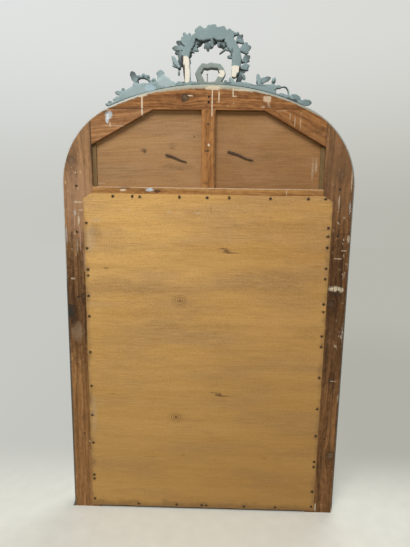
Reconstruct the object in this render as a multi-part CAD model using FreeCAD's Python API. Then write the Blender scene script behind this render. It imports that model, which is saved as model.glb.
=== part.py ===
import FreeCAD
import Part
import math
import os

# An overmantel mirror: a pine frame with an arched top, a painted face and mouldings
# in front of it, a mirror plate with a panel above, a plywood back and a carved crest.
# Millimetres, +Z up. The front faces -Y and the bare back +Y. Left and right are as
# seen from the front. The origin is the middle of the box that holds it, on the floor.

V = FreeCAD.Vector
SIDES = {"left": -1, "right": 1}
QUARTER = 90
HALF_TURN = 180

# Pine frame: outline and boards
FRAME_WIDTH = 880.0
SPRING_HEIGHT = 1095.0
SHOULDER_RADIUS = 245.0
JOIN_TURN = 24.6
BOARD_THICKNESS = 22.0
STILE_WIDTH = 89.0
BOTTOM_RAIL_LIFT = 5.0
BOTTOM_RAIL_HEIGHT = 86.0
MIDDLE_RAIL_DROP = 5.0
MIDDLE_RAIL_HEIGHT = 70.0
TOP_RAIL_HEIGHT = 66.0
RECESS_FLAT = 333.0
HAUNCH_DROP = 102.0
MUNTIN_WIDTH = 41.0

# Joints of the pine frame
TENON_LENGTH = 45.0
TENON_THICKNESS = 8.0
TENON_SHOULDER = 10.0
STUB_TENON_LENGTH = 12.0
STUB_TENON_SHOULDER = 6.0
JOINT_CLEARANCE = 0.2
HAUNCH_DOWEL_RADIUS = 4.0
HAUNCH_DOWEL_LENGTH = 32.0
TOP_DOWEL_PLACE_SHARE = 0.5

# Hanger holes in the top rail
HANGER_HOLE_RADIUS = 2.0
HANGER_HOLE_SPACING = 15.0
HANGER_HOLE_DROP = 30.0
HANGER_HOLE_DEPTH = 18.0

# Upper panel and its laths
PANEL_THICKNESS = 6.0
PANEL_CLEARANCE = 0.8
LATH_WIDTH = 12.0
LATH_THICKNESS = 6.0
LATH_PIN_SHARES = (0.25, 0.75)

# Mirror plate and the glue blocks behind it
GLASS_THICKNESS = 4.0
GLASS_CLEARANCE = 0.8
BLOCK_LEG = 14.0
BLOCK_LENGTH = 45.0
SIDE_BLOCK_SHARES = (0.18, 0.5, 0.82)
LEVEL_BLOCK_SHARES = (0.25, 0.75)

# Plywood back
BACKING_THICKNESS = 4.0
BACKING_LAP = 30.0
BACKING_FOOT = 8.0
BACKING_TOP_GAP = 20.0
BACKING_CLIP_WIDTH = 26.0
BACKING_CLIP_HEIGHT = 17.0

# Wire nails, with places as shares of the edge that they follow
NAIL_RADIUS = 1.1
NAIL_HEAD_RADIUS = 2.8
NAIL_HEAD_THICKNESS = 1.0
NAIL_POINT = 3.0
BACKING_NAIL_LENGTH = 20.0
BACKING_NAIL_INSET = 9.0
FRAME_NAIL_LENGTH = 30.0
MUNTIN_NAIL_LENGTH = 20.0
LATH_PIN_LENGTH = 22.0
RIGHT_NAIL_SHARES = (0.914, 0.84, 0.777, 0.759, 0.697, 0.634, 0.521, 0.411, 0.314,
                     0.22, 0.108, 0.094, 0.023)
LEFT_NAIL_SHARES = (0.91, 0.885, 0.853, 0.792, 0.761, 0.684, 0.661, 0.586, 0.553, 0.454,
                    0.352, 0.261, 0.173, 0.155, 0.068, 0.015)
TOP_NAIL_SHARES = (0.879, 0.8, 0.77, 0.611, 0.5, 0.412, 0.248, 0.098, 0.03)
BOTTOM_NAIL_SHARES = (0.789, 0.618, 0.504, 0.484, 0.314, 0.174)
STILE_NAIL_SHARES = (0.25, 0.68, 0.868, 0.996)
STILE_NAIL_INSET = 38.0
MUNTIN_NAIL_SHARES = (0.48, 0.82)

# Painted face frame, feet and mouldings
FACE_THICKNESS = 12.0
FACE_OVERHANG = 10.0
FACE_LIP = 13.0
FOOT_HEIGHT = 52.0
FOOT_DEPTH = 40.0
FOOT_FLARE = 9.0
FOOT_CURVE_SHARE = 0.25
FOOT_RETURN_LIP = 3.0
OUTER_MOULDING_WIDTH = 30.0
OUTER_MOULDING_HEIGHT = 16.0
OUTER_MOULDING_LIP = 3.0
SIGHT_MOULDING_WIDTH = 20.0
SIGHT_MOULDING_HEIGHT = 11.0
SIGHT_MOULDING_LIP = 3.5
BASE_MOULDING_HEIGHT = 40.0
BASE_MOULDING_DEPTH = 14.0
BASE_MOULDING_LIP = 5.0
COVE_SHARE = 0.55
COVE_SAG_SHARE = 0.3
ROUND_SHARE = 0.45
ROUND_SWELL_SHARE = 0.75

# Laurel garland on the panel and its clinched nails
GARLAND_DROP = 180.0
GARLAND_HALF_LENGTH = 172.0
GARLAND_STEM_WIDTH = 8.0
GARLAND_STEM_DEPTH = 7.0
GARLAND_LEAF_LENGTH = 42.0
GARLAND_LEAF_WIDTH = 15.0
GARLAND_LEAF_DEPTH = 9.0
GARLAND_LEAF_SPACING = 24.0
GARLAND_LEAF_LEAN = 40
GARLAND_ROSE_RADIUS = 19.0
GARLAND_ROSE_DEPTH = 13.0
RIGHT_CLINCH_PLACE = 126.0
RIGHT_CLINCH_LENGTH = 67.0
LEFT_CLINCH_PLACE = 62.0
LEFT_CLINCH_LENGTH = 82.0
CLINCH_TURN = 252
CLINCH_RADIUS = 2.4
CLINCH_TIP_RADIUS = 0.8
CLINCH_HEAD_RADIUS = 5.0
CLINCH_HEAD_THICKNESS = 1.6

# Carved crest: wreath, ribbon loop and two sprays
CREST_SEAT_CLEARANCE = 0.2
WREATH_OFFSET = 4.0
WREATH_RADIUS = 83.0
WREATH_LEG_TURN = 40
WREATH_RISE = 63.0
WREATH_WIDTH = 32.0
WREATH_DEPTH = 26.0
WREATH_BASE_HEIGHT = 14.0
WREATH_BASE_HALF = 91.0
ROSE_RADIUS = 27.0
ROSE_DEPTH = 30.0
ROSE_RIM_SHARE = 0.6
ROSE_TURNS_AND_SHARES = ((17, 0.81), (-3, 0.89), (-20, 0.89), (-35, 1.0))
CREST_LEAF_LENGTH = 50.0
CREST_LEAF_WIDTH = 27.0
CREST_LEAF_DEPTH = 8.0
CREST_LEAF_TILT = 9
LEAF_SETBACK_SHARES = (0.16, 0.34, 0.52)
LEAF_SWELL_SHARE = 0.46
LEAF_TAPER_SHARE = 0.84
LEAF_TAPER_WIDTH_SHARE = 0.7

# Each wreath leaf: turn of its root about the wreath, turn that it points to, both in
# degrees from straight up towards the right, then its length and width
WREATH_LEAF_TURNS_AND_SHARES = (
    (40, 50, 0.72, 0.7), (36, 35, 0.46, 0.55), (58, 64, 0.74, 0.65), (54, 54, 0.52, 0.55),
    (68, 75, 0.82, 0.95), (76, 78, 0.6, 0.6), (100, 46, 1.0, 0.62), (104, 50, 0.9, 0.5),
    (112, 73, 0.4, 0.45), (-34, -64, 0.8, 0.5), (-48, -53, 0.8, 0.8), (-56, -70, 0.6, 0.65),
    (-70, -62, 0.94, 0.9), (-76, -76, 0.66, 0.7), (-98, -47, 0.92, 0.6), (-104, -67, 0.78, 0.5),
    (-110, -70, 0.64, 0.6), (-117, -74, 0.55, 0.55), (58, -105, 0.7, 0.55), (15, 136, 0.86, 0.7),
    (66, -103, 0.42, 0.45), (6, 178, 0.95, 0.7), (-4, 180, 0.76, 0.6), (-26, 147, 0.6, 0.55),
    (-30, 175, 0.52, 0.5), (-48, 128, 0.88, 0.22), (-52, 137, 0.5, 0.4), (-60, 125, 0.44, 0.4),
    (-80, 78, 0.7, 0.5), (92, -80, 0.46, 0.45))

# Ribbon loop: half-widths and heights of its corners
LOOP_HALF_WIDTH = 38.0
LOOP_HEIGHT = 55.0
LOOP_BAND = 19.0
LOOP_DEPTH = 27.0
LOOP_CORNER_SHARES = ((0.57, 0.1), (1.0, 0.55), (0.66, 0.98), (0.0, 1.0))
CREST_PIN_PLACE = 6.0
CREST_PIN_RISE = 30.0
CREST_PIN_LENGTH = 46.0

# Sprays: share of the way out along the arch and share of the height
SPRAY_START = 88.0
SPRAY_HEIGHT = 55.0
SPRAY_THICKNESS = 16.0
RIGHT_SPRAY_EDGE_SHARES = (
    (0.0, 0.252), (0.02, 0.287), (0.13, 0.599), (0.21, 0.947), (0.243, 1.0), (0.27, 0.911),
    (0.29, 0.626), (0.336, 0.35), (0.392, 0.367), (0.49, 0.546), (0.6, 0.653),
    (0.65, 0.644), (0.732, 0.43), (0.82, 0.376), (0.893, 0.225), (1.0, 0.163))
LEFT_SPRAY_EDGE_SHARES = (
    (0.0, 0.376), (0.16, 0.332), (0.25, 0.341), (0.34, 0.359), (0.45, 0.448), (0.51, 0.528),
    (0.56, 0.412), (0.61, 0.225), (0.7, 0.207), (0.8, 0.243), (0.893, 0.216), (1.0, 0.163))
# Each spray leaf: way out, root height, lean outwards in degrees, length and width
RIGHT_SPRAY_LEAVES_AND_SHARES = (
    (0.6, 0.421, 12, 0.94, 0.85), (0.57, 0.51, -28, 0.4, 0.45), (0.23, 0.733, 30, 0.5, 0.8),
    (0.78, 0.198, 46, 0.78, 0.6), (0.74, 0.243, -8, 0.5, 0.5), (0.85, 0.154, 64, 0.56, 0.5),
    (0.91, 0.127, 70, 0.44, 0.4), (0.95, 0.109, 74, 0.4, 0.34))
LEFT_SPRAY_LEAVES_AND_SHARES = (
    (0.29, 0.243, -32, 0.76, 0.62), (0.27, 0.243, 52, 0.86, 0.6),
    (0.46, 0.287, -2, 0.6, 0.5), (0.5, 0.376, 40, 0.5, 0.45), (0.7, 0.154, 68, 0.66, 0.8),
    (0.73, 0.154, 42, 0.5, 0.6), (0.86, 0.145, 74, 0.74, 0.7), (0.9, 0.127, 50, 0.5, 0.5),
    (0.13, 0.234, -18, 0.42, 0.5))
# Arched twig of each spray: way out, height of its middle and radius, and the turns
# about that middle, in degrees outwards, at which its buds grow
TWIG_RADIUS = 25.0
TWIG_THICKNESS = 3.6
BUD_LENGTH = 14.0
BUD_WIDTH = 10.0
RIGHT_TWIG_SHARES = (0.475, 0.483, 1.0)
RIGHT_BUD_TURNS = (2, -34, -70)
LEFT_TWIG_SHARES = (0.615, 0.287, 0.6)
LEFT_BUD_TURNS = (-55,)
CREST_DOWEL_RADIUS = 3.0
CREST_DOWEL_LENGTH = 26.0
CREST_DOWEL_RISE = 9.0
SPRAY_DOWEL_SHARES = (0.22, 0.5)

# One overrun serves all cuts
OVERRUN = 5.0

# Places that follow from the sizes
HALF = FRAME_WIDTH / 2
OPENING_HALF = HALF - STILE_WIDTH
SIGHT_HALF = OPENING_HALF - FACE_LIP
SIGHT_OFFSET = SIGHT_HALF - HALF
OUTER_OFFSET = FACE_OVERHANG - OUTER_MOULDING_WIDTH
SHOULDER_CENTRE = HALF - SHOULDER_RADIUS
CROWN_RADIUS = SHOULDER_RADIUS + SHOULDER_CENTRE / math.sin(math.radians(JOIN_TURN))
CROWN_CENTRE = SPRING_HEIGHT - SHOULDER_CENTRE / math.tan(math.radians(JOIN_TURN))
CROWN_TOP = CROWN_CENTRE + CROWN_RADIUS
RECESS_TOP = CROWN_TOP - TOP_RAIL_HEIGHT
HAUNCH_FOOT = RECESS_TOP - HAUNCH_DROP
MIDDLE_RAIL_TOP = SPRING_HEIGHT - MIDDLE_RAIL_DROP
MIDDLE_RAIL_FOOT = MIDDLE_RAIL_TOP - MIDDLE_RAIL_HEIGHT
BOTTOM_RAIL_TOP = BOTTOM_RAIL_LIFT + BOTTOM_RAIL_HEIGHT
MIRROR_SIGHT_FOOT = BOTTOM_RAIL_TOP + FACE_LIP
MIRROR_SIGHT_TOP = MIDDLE_RAIL_FOOT - FACE_LIP
BACK_PLANE = (BACKING_THICKNESS + BOARD_THICKNESS + FOOT_DEPTH) / 2
BOARD_BACK = BACK_PLANE - BACKING_THICKNESS
BOARD_FRONT = BOARD_BACK - BOARD_THICKNESS
BOARD_MIDDLE = (BOARD_BACK + BOARD_FRONT) / 2
FACE_FRONT = BOARD_FRONT - FACE_THICKNESS
PANEL_BACK = BOARD_FRONT + PANEL_THICKNESS
MUNTIN_MIDDLE = (PANEL_BACK + BOARD_BACK) / 2
GLASS_BACK = BOARD_FRONT + GLASS_THICKNESS
BACKING_HALF = OPENING_HALF + BACKING_LAP
BACKING_TOP = MIDDLE_RAIL_TOP - BACKING_TOP_GAP
SEAT_RADIUS = CROWN_RADIUS + FACE_OVERHANG
GARLAND_RADIUS = CROWN_RADIUS - GARLAND_DROP
WREATH_CENTRE = CROWN_TOP + FACE_OVERHANG + WREATH_RISE
FACE_MIDDLE = (BOARD_FRONT + FACE_FRONT) / 2


def box(x0, x1, y0, y1, z0, z1):
    return Part.makeBox(x1 - x0, y1 - y0, z1 - z0, V(x0, y0, z0))


def sided(shape, side):
    """The right-hand shape, or its mirror image for the left."""
    return shape if side > 0 else shape.mirror(V(0, 0, 0), V(1, 0, 0))


def polar(centre_x, centre_z, radius, turn):
    """Point at a turn from straight up towards +X, in degrees."""
    angle = math.radians(turn)
    return V(centre_x + radius * math.sin(angle), 0, centre_z + radius * math.cos(angle))


def outline(edges):
    return Part.Face(Part.Wire([edge.toShape() for edge in edges]))


def polygon(points):
    return Part.Face(Part.makePolygon(points + points[:1]))


def slab(face, front, back):
    """A face drawn at y = 0, given its thickness from front to back."""
    solid = face.extrude(V(0, back - front, 0))
    solid.translate(V(0, front, 0))
    return solid


def arch_height(x, offset):
    """Height of the arch, moved outwards by offset, above a place x."""
    if abs(x) <= (CROWN_RADIUS + offset) * math.sin(math.radians(JOIN_TURN)):
        return CROWN_CENTRE + math.sqrt((CROWN_RADIUS + offset) ** 2 - x ** 2)
    return SPRING_HEIGHT + math.sqrt((SHOULDER_RADIUS + offset) ** 2 - (abs(x) - SHOULDER_CENTRE) ** 2)


def frame_slab():
    """The whole outline of the pine frame as one slab, from which the boards are sawn."""
    turns = (QUARTER, (QUARTER + JOIN_TURN) / 2, JOIN_TURN)
    right = [polar(SHOULDER_CENTRE, SPRING_HEIGHT, SHOULDER_RADIUS, turn) for turn in turns]
    left = [V(-point.x, 0, point.z) for point in reversed(right)]
    foot = V(HALF, 0, 0)
    face = outline([
        Part.LineSegment(foot, right[0]), Part.Arc(*right),
        Part.Arc(right[2], polar(0, CROWN_CENTRE, CROWN_RADIUS, 0), left[0]), Part.Arc(*left),
        Part.LineSegment(left[2], -foot), Part.LineSegment(-foot, foot)])
    return slab(face, BOARD_FRONT, BOARD_BACK)


# Joints


def tenon(foot, top, growth):
    """Right-hand tenon of a rail that lies between two heights."""
    depth = TENON_THICKNESS / 2 + growth
    return box(OPENING_HALF - OVERRUN, OPENING_HALF + TENON_LENGTH + growth,
               BOARD_MIDDLE - depth, BOARD_MIDDLE + depth,
               foot + TENON_SHOULDER - growth, top - TENON_SHOULDER + growth)


def stub_tenons(growth):
    """The muntin with its stub tenons, as one bar between the two rails."""
    half = MUNTIN_WIDTH / 2 - STUB_TENON_SHOULDER + growth
    depth = TENON_THICKNESS / 2 + growth
    return box(-half, half, MUNTIN_MIDDLE - depth, MUNTIN_MIDDLE + depth,
               MIDDLE_RAIL_TOP - STUB_TENON_LENGTH - growth, RECESS_TOP + STUB_TENON_LENGTH + growth)


def haunch_dowels():
    """Right-hand dowels: one from the haunch to the stile, one up to the top rail."""
    joint_height = (HAUNCH_FOOT + arch_height(OPENING_HALF, 0)) / 2
    half = HAUNCH_DOWEL_LENGTH / 2
    level = Part.makeCylinder(HAUNCH_DOWEL_RADIUS, HAUNCH_DOWEL_LENGTH,
                              V(OPENING_HALF - half, BOARD_MIDDLE, joint_height), V(1, 0, 0))
    reach = math.sqrt(CROWN_RADIUS ** 2 - (RECESS_TOP - CROWN_CENTRE) ** 2)
    place = RECESS_FLAT / 2 + (reach - RECESS_FLAT / 2) * TOP_DOWEL_PLACE_SHARE
    upright = Part.makeCylinder(HAUNCH_DOWEL_RADIUS, HAUNCH_DOWEL_LENGTH,
                                V(place, BOARD_MIDDLE, RECESS_TOP - half), V(0, 0, 1))
    return [level, upright]


# Nails


def nail(start, direction, length):
    """Flat-headed wire nail, its head flush at the start."""
    head = Part.makeCylinder(NAIL_HEAD_RADIUS, NAIL_HEAD_THICKNESS, start, direction)
    shank = Part.makeCylinder(NAIL_RADIUS, length - NAIL_POINT, start, direction)
    point = Part.makeCone(NAIL_RADIUS, 0, NAIL_POINT, start + direction * (length - NAIL_POINT), direction)
    return head.fuse([shank, point])


def backing_nail_places():
    """Places of the nails round the plywood, close inside its four edges."""
    width = 2 * BACKING_HALF
    height = BACKING_TOP - BACKING_FOOT
    edge = BACKING_HALF - BACKING_NAIL_INSET
    places = [(edge, BACKING_FOOT + share * height) for share in RIGHT_NAIL_SHARES]
    places += [(-edge, BACKING_FOOT + share * height) for share in LEFT_NAIL_SHARES]
    places += [(share * width - BACKING_HALF, BACKING_TOP - BACKING_NAIL_INSET)
               for share in TOP_NAIL_SHARES]
    places += [(share * width - BACKING_HALF, BACKING_FOOT + BACKING_NAIL_INSET)
               for share in BOTTOM_NAIL_SHARES]
    return places


def back_board_nails():
    return [nail(V(x, BACK_PLANE, z), V(0, -1, 0), BACKING_NAIL_LENGTH) for x, z in backing_nail_places()]


def frame_nails():
    """Nails through the stiles into the painted face, and through the muntin."""
    nails = []
    for share in STILE_NAIL_SHARES:
        for side in SIDES.values():
            start = V(side * (HALF - STILE_NAIL_INSET), BOARD_BACK, share * SPRING_HEIGHT)
            nails.append(nail(start, V(0, -1, 0), FRAME_NAIL_LENGTH))
    for share in MUNTIN_NAIL_SHARES:
        start = V(0, BOARD_BACK, MIDDLE_RAIL_TOP + share * (RECESS_TOP - MIDDLE_RAIL_TOP))
        nails.append(nail(start, V(0, -1, 0), MUNTIN_NAIL_LENGTH))
    return nails


def lath_pins():
    """Right-hand pins through a panel lath into the stile."""
    level = PANEL_BACK + LATH_THICKNESS / 2
    heights = [MIDDLE_RAIL_TOP + share * (HAUNCH_FOOT - MIDDLE_RAIL_TOP) for share in LATH_PIN_SHARES]
    return [nail(V(OPENING_HALF - LATH_WIDTH, level, z), V(1, 0, 0), LATH_PIN_LENGTH) for z in heights]


# Boards of the pine frame


def stile():
    """Right-hand stile, with mortises for the rails and a dowel hole for the haunch."""
    board = frame_slab().common(box(OPENING_HALF, HALF, BOARD_FRONT, BOARD_BACK, 0, CROWN_TOP))
    holes = [tenon(BOTTOM_RAIL_LIFT, BOTTOM_RAIL_TOP, JOINT_CLEARANCE),
             tenon(MIDDLE_RAIL_FOOT, MIDDLE_RAIL_TOP, JOINT_CLEARANCE)]
    return board.cut(holes + haunch_dowels() + lath_pins())


def rail(foot, top):
    body = box(-OPENING_HALF, OPENING_HALF, BOARD_FRONT, BOARD_BACK, foot, top)
    end = tenon(foot, top, 0)
    return body.fuse([end, sided(end, -1)]).removeSplitter()


def middle_rail():
    return rail(MIDDLE_RAIL_FOOT, MIDDLE_RAIL_TOP).cut(stub_tenons(JOINT_CLEARANCE))


def top_rail():
    """Crown board over the recess, with the muntin's mortise and the two hanger holes."""
    board = frame_slab().common(box(-HALF, HALF, BOARD_FRONT, BOARD_BACK, RECESS_TOP, CROWN_TOP))
    holes = [stub_tenons(JOINT_CLEARANCE)]
    for step in (0, 1):
        height = CROWN_TOP - HANGER_HOLE_DROP - step * HANGER_HOLE_SPACING
        holes.append(Part.makeCylinder(HANGER_HOLE_RADIUS, HANGER_HOLE_DEPTH + OVERRUN,
                                       V(0, BOARD_BACK + OVERRUN, height), V(0, -1, 0)))
    for dowel in haunch_dowels():
        holes += [dowel, sided(dowel, -1)]
    return board.cut(holes)


def haunch():
    """Right-hand wedge under the crown board, with a slanted lower edge."""
    wedge = polygon([V(RECESS_FLAT / 2, 0, RECESS_TOP), V(OPENING_HALF, 0, HAUNCH_FOOT),
                     V(OPENING_HALF, 0, RECESS_TOP)])
    return frame_slab().common(slab(wedge, BOARD_FRONT, BOARD_BACK)).cut(haunch_dowels())


def muntin():
    half = MUNTIN_WIDTH / 2
    bar = box(-half, half, PANEL_BACK, BOARD_BACK, MIDDLE_RAIL_TOP, RECESS_TOP)
    return bar.fuse(stub_tenons(0)).removeSplitter()


def upper_panel():
    """Thin panel in the recess, flush with the front of the boards."""
    edge = OPENING_HALF - PANEL_CLEARANCE
    flat = RECESS_FLAT / 2 - PANEL_CLEARANCE
    right = [V(edge, 0, MIDDLE_RAIL_TOP), V(edge, 0, HAUNCH_FOOT - PANEL_CLEARANCE),
             V(flat, 0, RECESS_TOP - PANEL_CLEARANCE)]
    left = [V(-point.x, 0, point.z) for point in reversed(right)]
    return slab(polygon(right + left), BOARD_FRONT, PANEL_BACK)


def panel_lath():
    """Right-hand lath that keeps the panel's side in the recess."""
    bar = box(OPENING_HALF - LATH_WIDTH, OPENING_HALF, PANEL_BACK, PANEL_BACK + LATH_THICKNESS,
              MIDDLE_RAIL_TOP, HAUNCH_FOOT)
    return bar.cut(lath_pins())


# Mirror plate and back


def mirror_glass():
    half = OPENING_HALF - GLASS_CLEARANCE
    return box(-half, half, BOARD_FRONT, GLASS_BACK, BOTTOM_RAIL_TOP, MIDDLE_RAIL_FOOT - GLASS_CLEARANCE)


def glass_blocks():
    """Three-cornered glue blocks along the mirror's edges, behind the plate."""
    corner = polygon([V(0, 0, 0), V(-BLOCK_LEG, 0, 0), V(0, BLOCK_LEG, 0)])
    block = corner.extrude(V(0, 0, BLOCK_LENGTH))
    block.translate(V(0, 0, -BLOCK_LENGTH / 2))
    blocks = []
    for share in SIDE_BLOCK_SHARES:
        upright = block.copy()
        height = BOTTOM_RAIL_TOP + share * (MIDDLE_RAIL_FOOT - BOTTOM_RAIL_TOP)
        upright.translate(V(OPENING_HALF, GLASS_BACK, height))
        blocks += [upright, sided(upright, -1)]
    for share in LEVEL_BLOCK_SHARES:
        place = (2 * share - 1) * OPENING_HALF
        for turn, height in ((QUARTER, BOTTOM_RAIL_TOP), (-QUARTER, MIDDLE_RAIL_FOOT)):
            level = block.copy()
            level.rotate(V(0, 0, 0), V(0, 1, 0), turn)
            level.translate(V(place, GLASS_BACK, height))
            blocks.append(level)
    return blocks


def back_board():
    """Plywood sheet over the mirror's back, its top corners clipped."""
    right = [V(BACKING_HALF, 0, BACKING_FOOT), V(BACKING_HALF, 0, BACKING_TOP - BACKING_CLIP_HEIGHT),
             V(BACKING_HALF - BACKING_CLIP_WIDTH, 0, BACKING_TOP)]
    left = [V(-point.x, 0, point.z) for point in reversed(right)]
    return slab(polygon(right + left), BOARD_BACK, BACK_PLANE)


# Sections of the face and its mouldings, drawn outwards from a reference in x


def flat_section(reference, foot, width, back, front):
    """Rectangle from foot to foot + width outwards of the reference."""
    return polygon([V(reference + foot, back, 0), V(reference + foot + width, back, 0),
                    V(reference + foot + width, front, 0), V(reference + foot, front, 0)])


def moulding_section(reference, width, height, lip):
    """A lip, a cove and a round, on the face's front."""
    def at(across, forward):
        return V(reference + across, FACE_FRONT - forward, 0)

    cove = width * COVE_SHARE
    edge = height * ROUND_SHARE
    sag = at(cove * (1 - COVE_SAG_SHARE), lip + (height - lip) * COVE_SAG_SHARE)
    swell = at(cove + (width - cove) * ROUND_SWELL_SHARE, edge + (height - edge) * ROUND_SWELL_SHARE)
    return outline([
        Part.LineSegment(at(0, 0), at(0, lip)), Part.Arc(at(0, lip), sag, at(cove, height)),
        Part.Arc(at(cove, height), swell, at(width, edge)),
        Part.LineSegment(at(width, edge), at(width, 0)), Part.LineSegment(at(width, 0), at(0, 0))])


def face_section(reference):
    return flat_section(reference, 0, FACE_OVERHANG - SIGHT_OFFSET, BOARD_FRONT, FACE_FRONT)


def outer_section(reference):
    return moulding_section(reference, OUTER_MOULDING_WIDTH, OUTER_MOULDING_HEIGHT, OUTER_MOULDING_LIP)


def sight_section(reference):
    return moulding_section(reference, SIGHT_MOULDING_WIDTH, SIGHT_MOULDING_HEIGHT, SIGHT_MOULDING_LIP)


def upright_run(section, reference, foot, top):
    face = section(reference)
    face.translate(V(0, 0, foot))
    return face.extrude(V(0, 0, top - foot))


def arc_run(section, centre_x, centre_z, radius, start, sweep):
    """A section swept about a centre, from start degrees above level."""
    face = section(radius)
    face.rotate(V(0, 0, 0), V(0, -1, 0), start)
    solid = face.revolve(V(0, 0, 0), V(0, -1, 0), sweep)
    solid.translate(V(centre_x, 0, centre_z))
    return solid


def shoulder_run(section, offset):
    """Right-hand shoulder of the arch, at an offset from the pine frame's outline."""
    sweep = QUARTER - JOIN_TURN
    return arc_run(section, SHOULDER_CENTRE, SPRING_HEIGHT, SHOULDER_RADIUS + offset, 0, sweep)


def crown_run(section, offset):
    return arc_run(section, 0, CROWN_CENTRE, CROWN_RADIUS + offset, QUARTER - JOIN_TURN, 2 * JOIN_TURN)


def mitred_run(section, width, sight, reach):
    """Upright length at +X, both ends mitred outwards from its sight edge."""
    run = upright_run(section, sight, -reach - width, reach + width)
    mitre = polygon([V(sight, 0, -reach), V(sight + width, 0, -reach - width),
                     V(sight + width, 0, reach + width), V(sight, 0, reach)])
    return run.common(slab(mitre, BOARD_FRONT - FOOT_DEPTH, BOARD_FRONT))


# Painted face, feet and mouldings


def foot_block():
    """Right-hand plinth block, its front flaring out to the floor."""
    def at(forward, height):
        return V(SIGHT_HALF, BOARD_FRONT - forward, height)

    toe = at(FOOT_DEPTH, 0)
    bend = at(FOOT_DEPTH - FOOT_FLARE * (1 - FOOT_CURVE_SHARE), FOOT_HEIGHT / 2)
    brow = at(FOOT_DEPTH - FOOT_FLARE, FOOT_HEIGHT)
    face = outline([
        Part.LineSegment(at(0, 0), toe), Part.Arc(toe, bend, brow),
        Part.LineSegment(brow, at(0, FOOT_HEIGHT)), Part.LineSegment(at(0, FOOT_HEIGHT), at(0, 0))])
    return face.extrude(V(HALF + FACE_OVERHANG - SIGHT_HALF, 0, 0))


def foot_return():
    """Flared return of the right foot, along the side of the stile to its back."""
    def at(outwards, height):
        return V(HALF + outwards, 0, height)

    toe = at(FACE_OVERHANG, 0)
    bend = at(FACE_OVERHANG / 2, FOOT_HEIGHT * FOOT_CURVE_SHARE)
    brow = at(FOOT_RETURN_LIP, FOOT_HEIGHT)
    face = outline([
        Part.LineSegment(at(0, 0), toe), Part.Arc(toe, bend, brow),
        Part.LineSegment(brow, at(0, FOOT_HEIGHT)), Part.LineSegment(at(0, FOOT_HEIGHT), at(0, 0))])
    return slab(face, BOARD_FRONT, BOARD_BACK)


def face_rail(foot, top):
    return box(-SIGHT_HALF, SIGHT_HALF, FACE_FRONT, BOARD_FRONT, foot, top)


def base_moulding():
    """Plinth board between the feet, its top edge coved."""
    def at(forward, height):
        return V(-SIGHT_HALF, FACE_FRONT - forward, height)

    cove = BASE_MOULDING_HEIGHT * COVE_SHARE
    foot = at(BASE_MOULDING_DEPTH, 0)
    brow = at(BASE_MOULDING_DEPTH, BASE_MOULDING_HEIGHT - cove)
    top = at(BASE_MOULDING_LIP, BASE_MOULDING_HEIGHT)
    sag = at(BASE_MOULDING_LIP + (BASE_MOULDING_DEPTH - BASE_MOULDING_LIP) * COVE_SAG_SHARE,
             BASE_MOULDING_HEIGHT - cove * (1 - COVE_SAG_SHARE))
    face = outline([
        Part.LineSegment(at(0, 0), foot), Part.LineSegment(foot, brow), Part.Arc(brow, sag, top),
        Part.LineSegment(top, at(0, BASE_MOULDING_HEIGHT)),
        Part.LineSegment(at(0, BASE_MOULDING_HEIGHT), at(0, 0))])
    return face.extrude(V(2 * SIGHT_HALF, 0, 0))


def mirror_moulding(side):
    """One of the four mitred lengths round the mirror."""
    middle = (MIRROR_SIGHT_FOOT + MIRROR_SIGHT_TOP) / 2
    half_height = (MIRROR_SIGHT_TOP - MIRROR_SIGHT_FOOT) / 2
    turns = {"right": 0, "bottom": QUARTER, "left": HALF_TURN, "top": -QUARTER}
    level = side in ("bottom", "top")
    sight = half_height if level else SIGHT_HALF
    reach = SIGHT_HALF if level else half_height
    run = mitred_run(sight_section, SIGHT_MOULDING_WIDTH, sight, reach)
    run.rotate(V(0, 0, 0), V(0, 1, 0), turns[side])
    run.translate(V(0, 0, middle))
    return run


def panel_moulding_bottom():
    run = mitred_run(sight_section, SIGHT_MOULDING_WIDTH, 0, SIGHT_HALF)
    run.rotate(V(0, 0, 0), V(0, 1, 0), QUARTER)
    run.translate(V(0, 0, SPRING_HEIGHT))
    return run


def panel_moulding_shoulder():
    """Right-hand shoulder of the panel's moulding, with a mitred toe."""
    width = SIGHT_MOULDING_WIDTH
    toe = upright_run(sight_section, SIGHT_HALF, SPRING_HEIGHT - width, SPRING_HEIGHT)
    mitre = polygon([V(SIGHT_HALF, 0, SPRING_HEIGHT), V(SIGHT_HALF + width, 0, SPRING_HEIGHT - width),
                     V(SIGHT_HALF + width, 0, SPRING_HEIGHT)])
    toe = toe.common(slab(mitre, BOARD_FRONT - FOOT_DEPTH, BOARD_FRONT))
    return toe.fuse(shoulder_run(sight_section, SIGHT_OFFSET)).removeSplitter()


# Carved work


def leaf(length, width, depth):
    """Pointed leaf that grows up from the origin, flat behind, ridged in front."""
    swell = length * LEAF_SWELL_SHARE
    taper = length * LEAF_TAPER_SHARE
    half = width / 2
    narrow = half * LEAF_TAPER_WIDTH_SHARE
    rim = [V(0, 0, 0), V(half, 0, swell), V(narrow, 0, taper), V(0, 0, length),
           V(-narrow, 0, taper), V(-half, 0, swell)]
    low = V(0, -depth, swell)
    high = V(0, -depth * LEAF_TAPER_WIDTH_SHARE, taper)
    corners = [(rim[0], rim[1], low), (rim[1], rim[2], low), (rim[2], high, low), (rim[2], rim[3], high),
               (rim[3], rim[4], high), (rim[4], low, high), (rim[4], rim[5], low), (rim[5], rim[0], low)]
    faces = [polygon(list(points)) for points in corners]
    return Part.Solid(Part.Shell(faces + [polygon(rim)]))


def planted(shape, turn, x, y, z):
    """A shape turned about the depth axis and set at a place."""
    shape.rotate(V(0, 0, 0), V(0, 1, 0), turn)
    shape.translate(V(x, y, z))
    return shape


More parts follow.
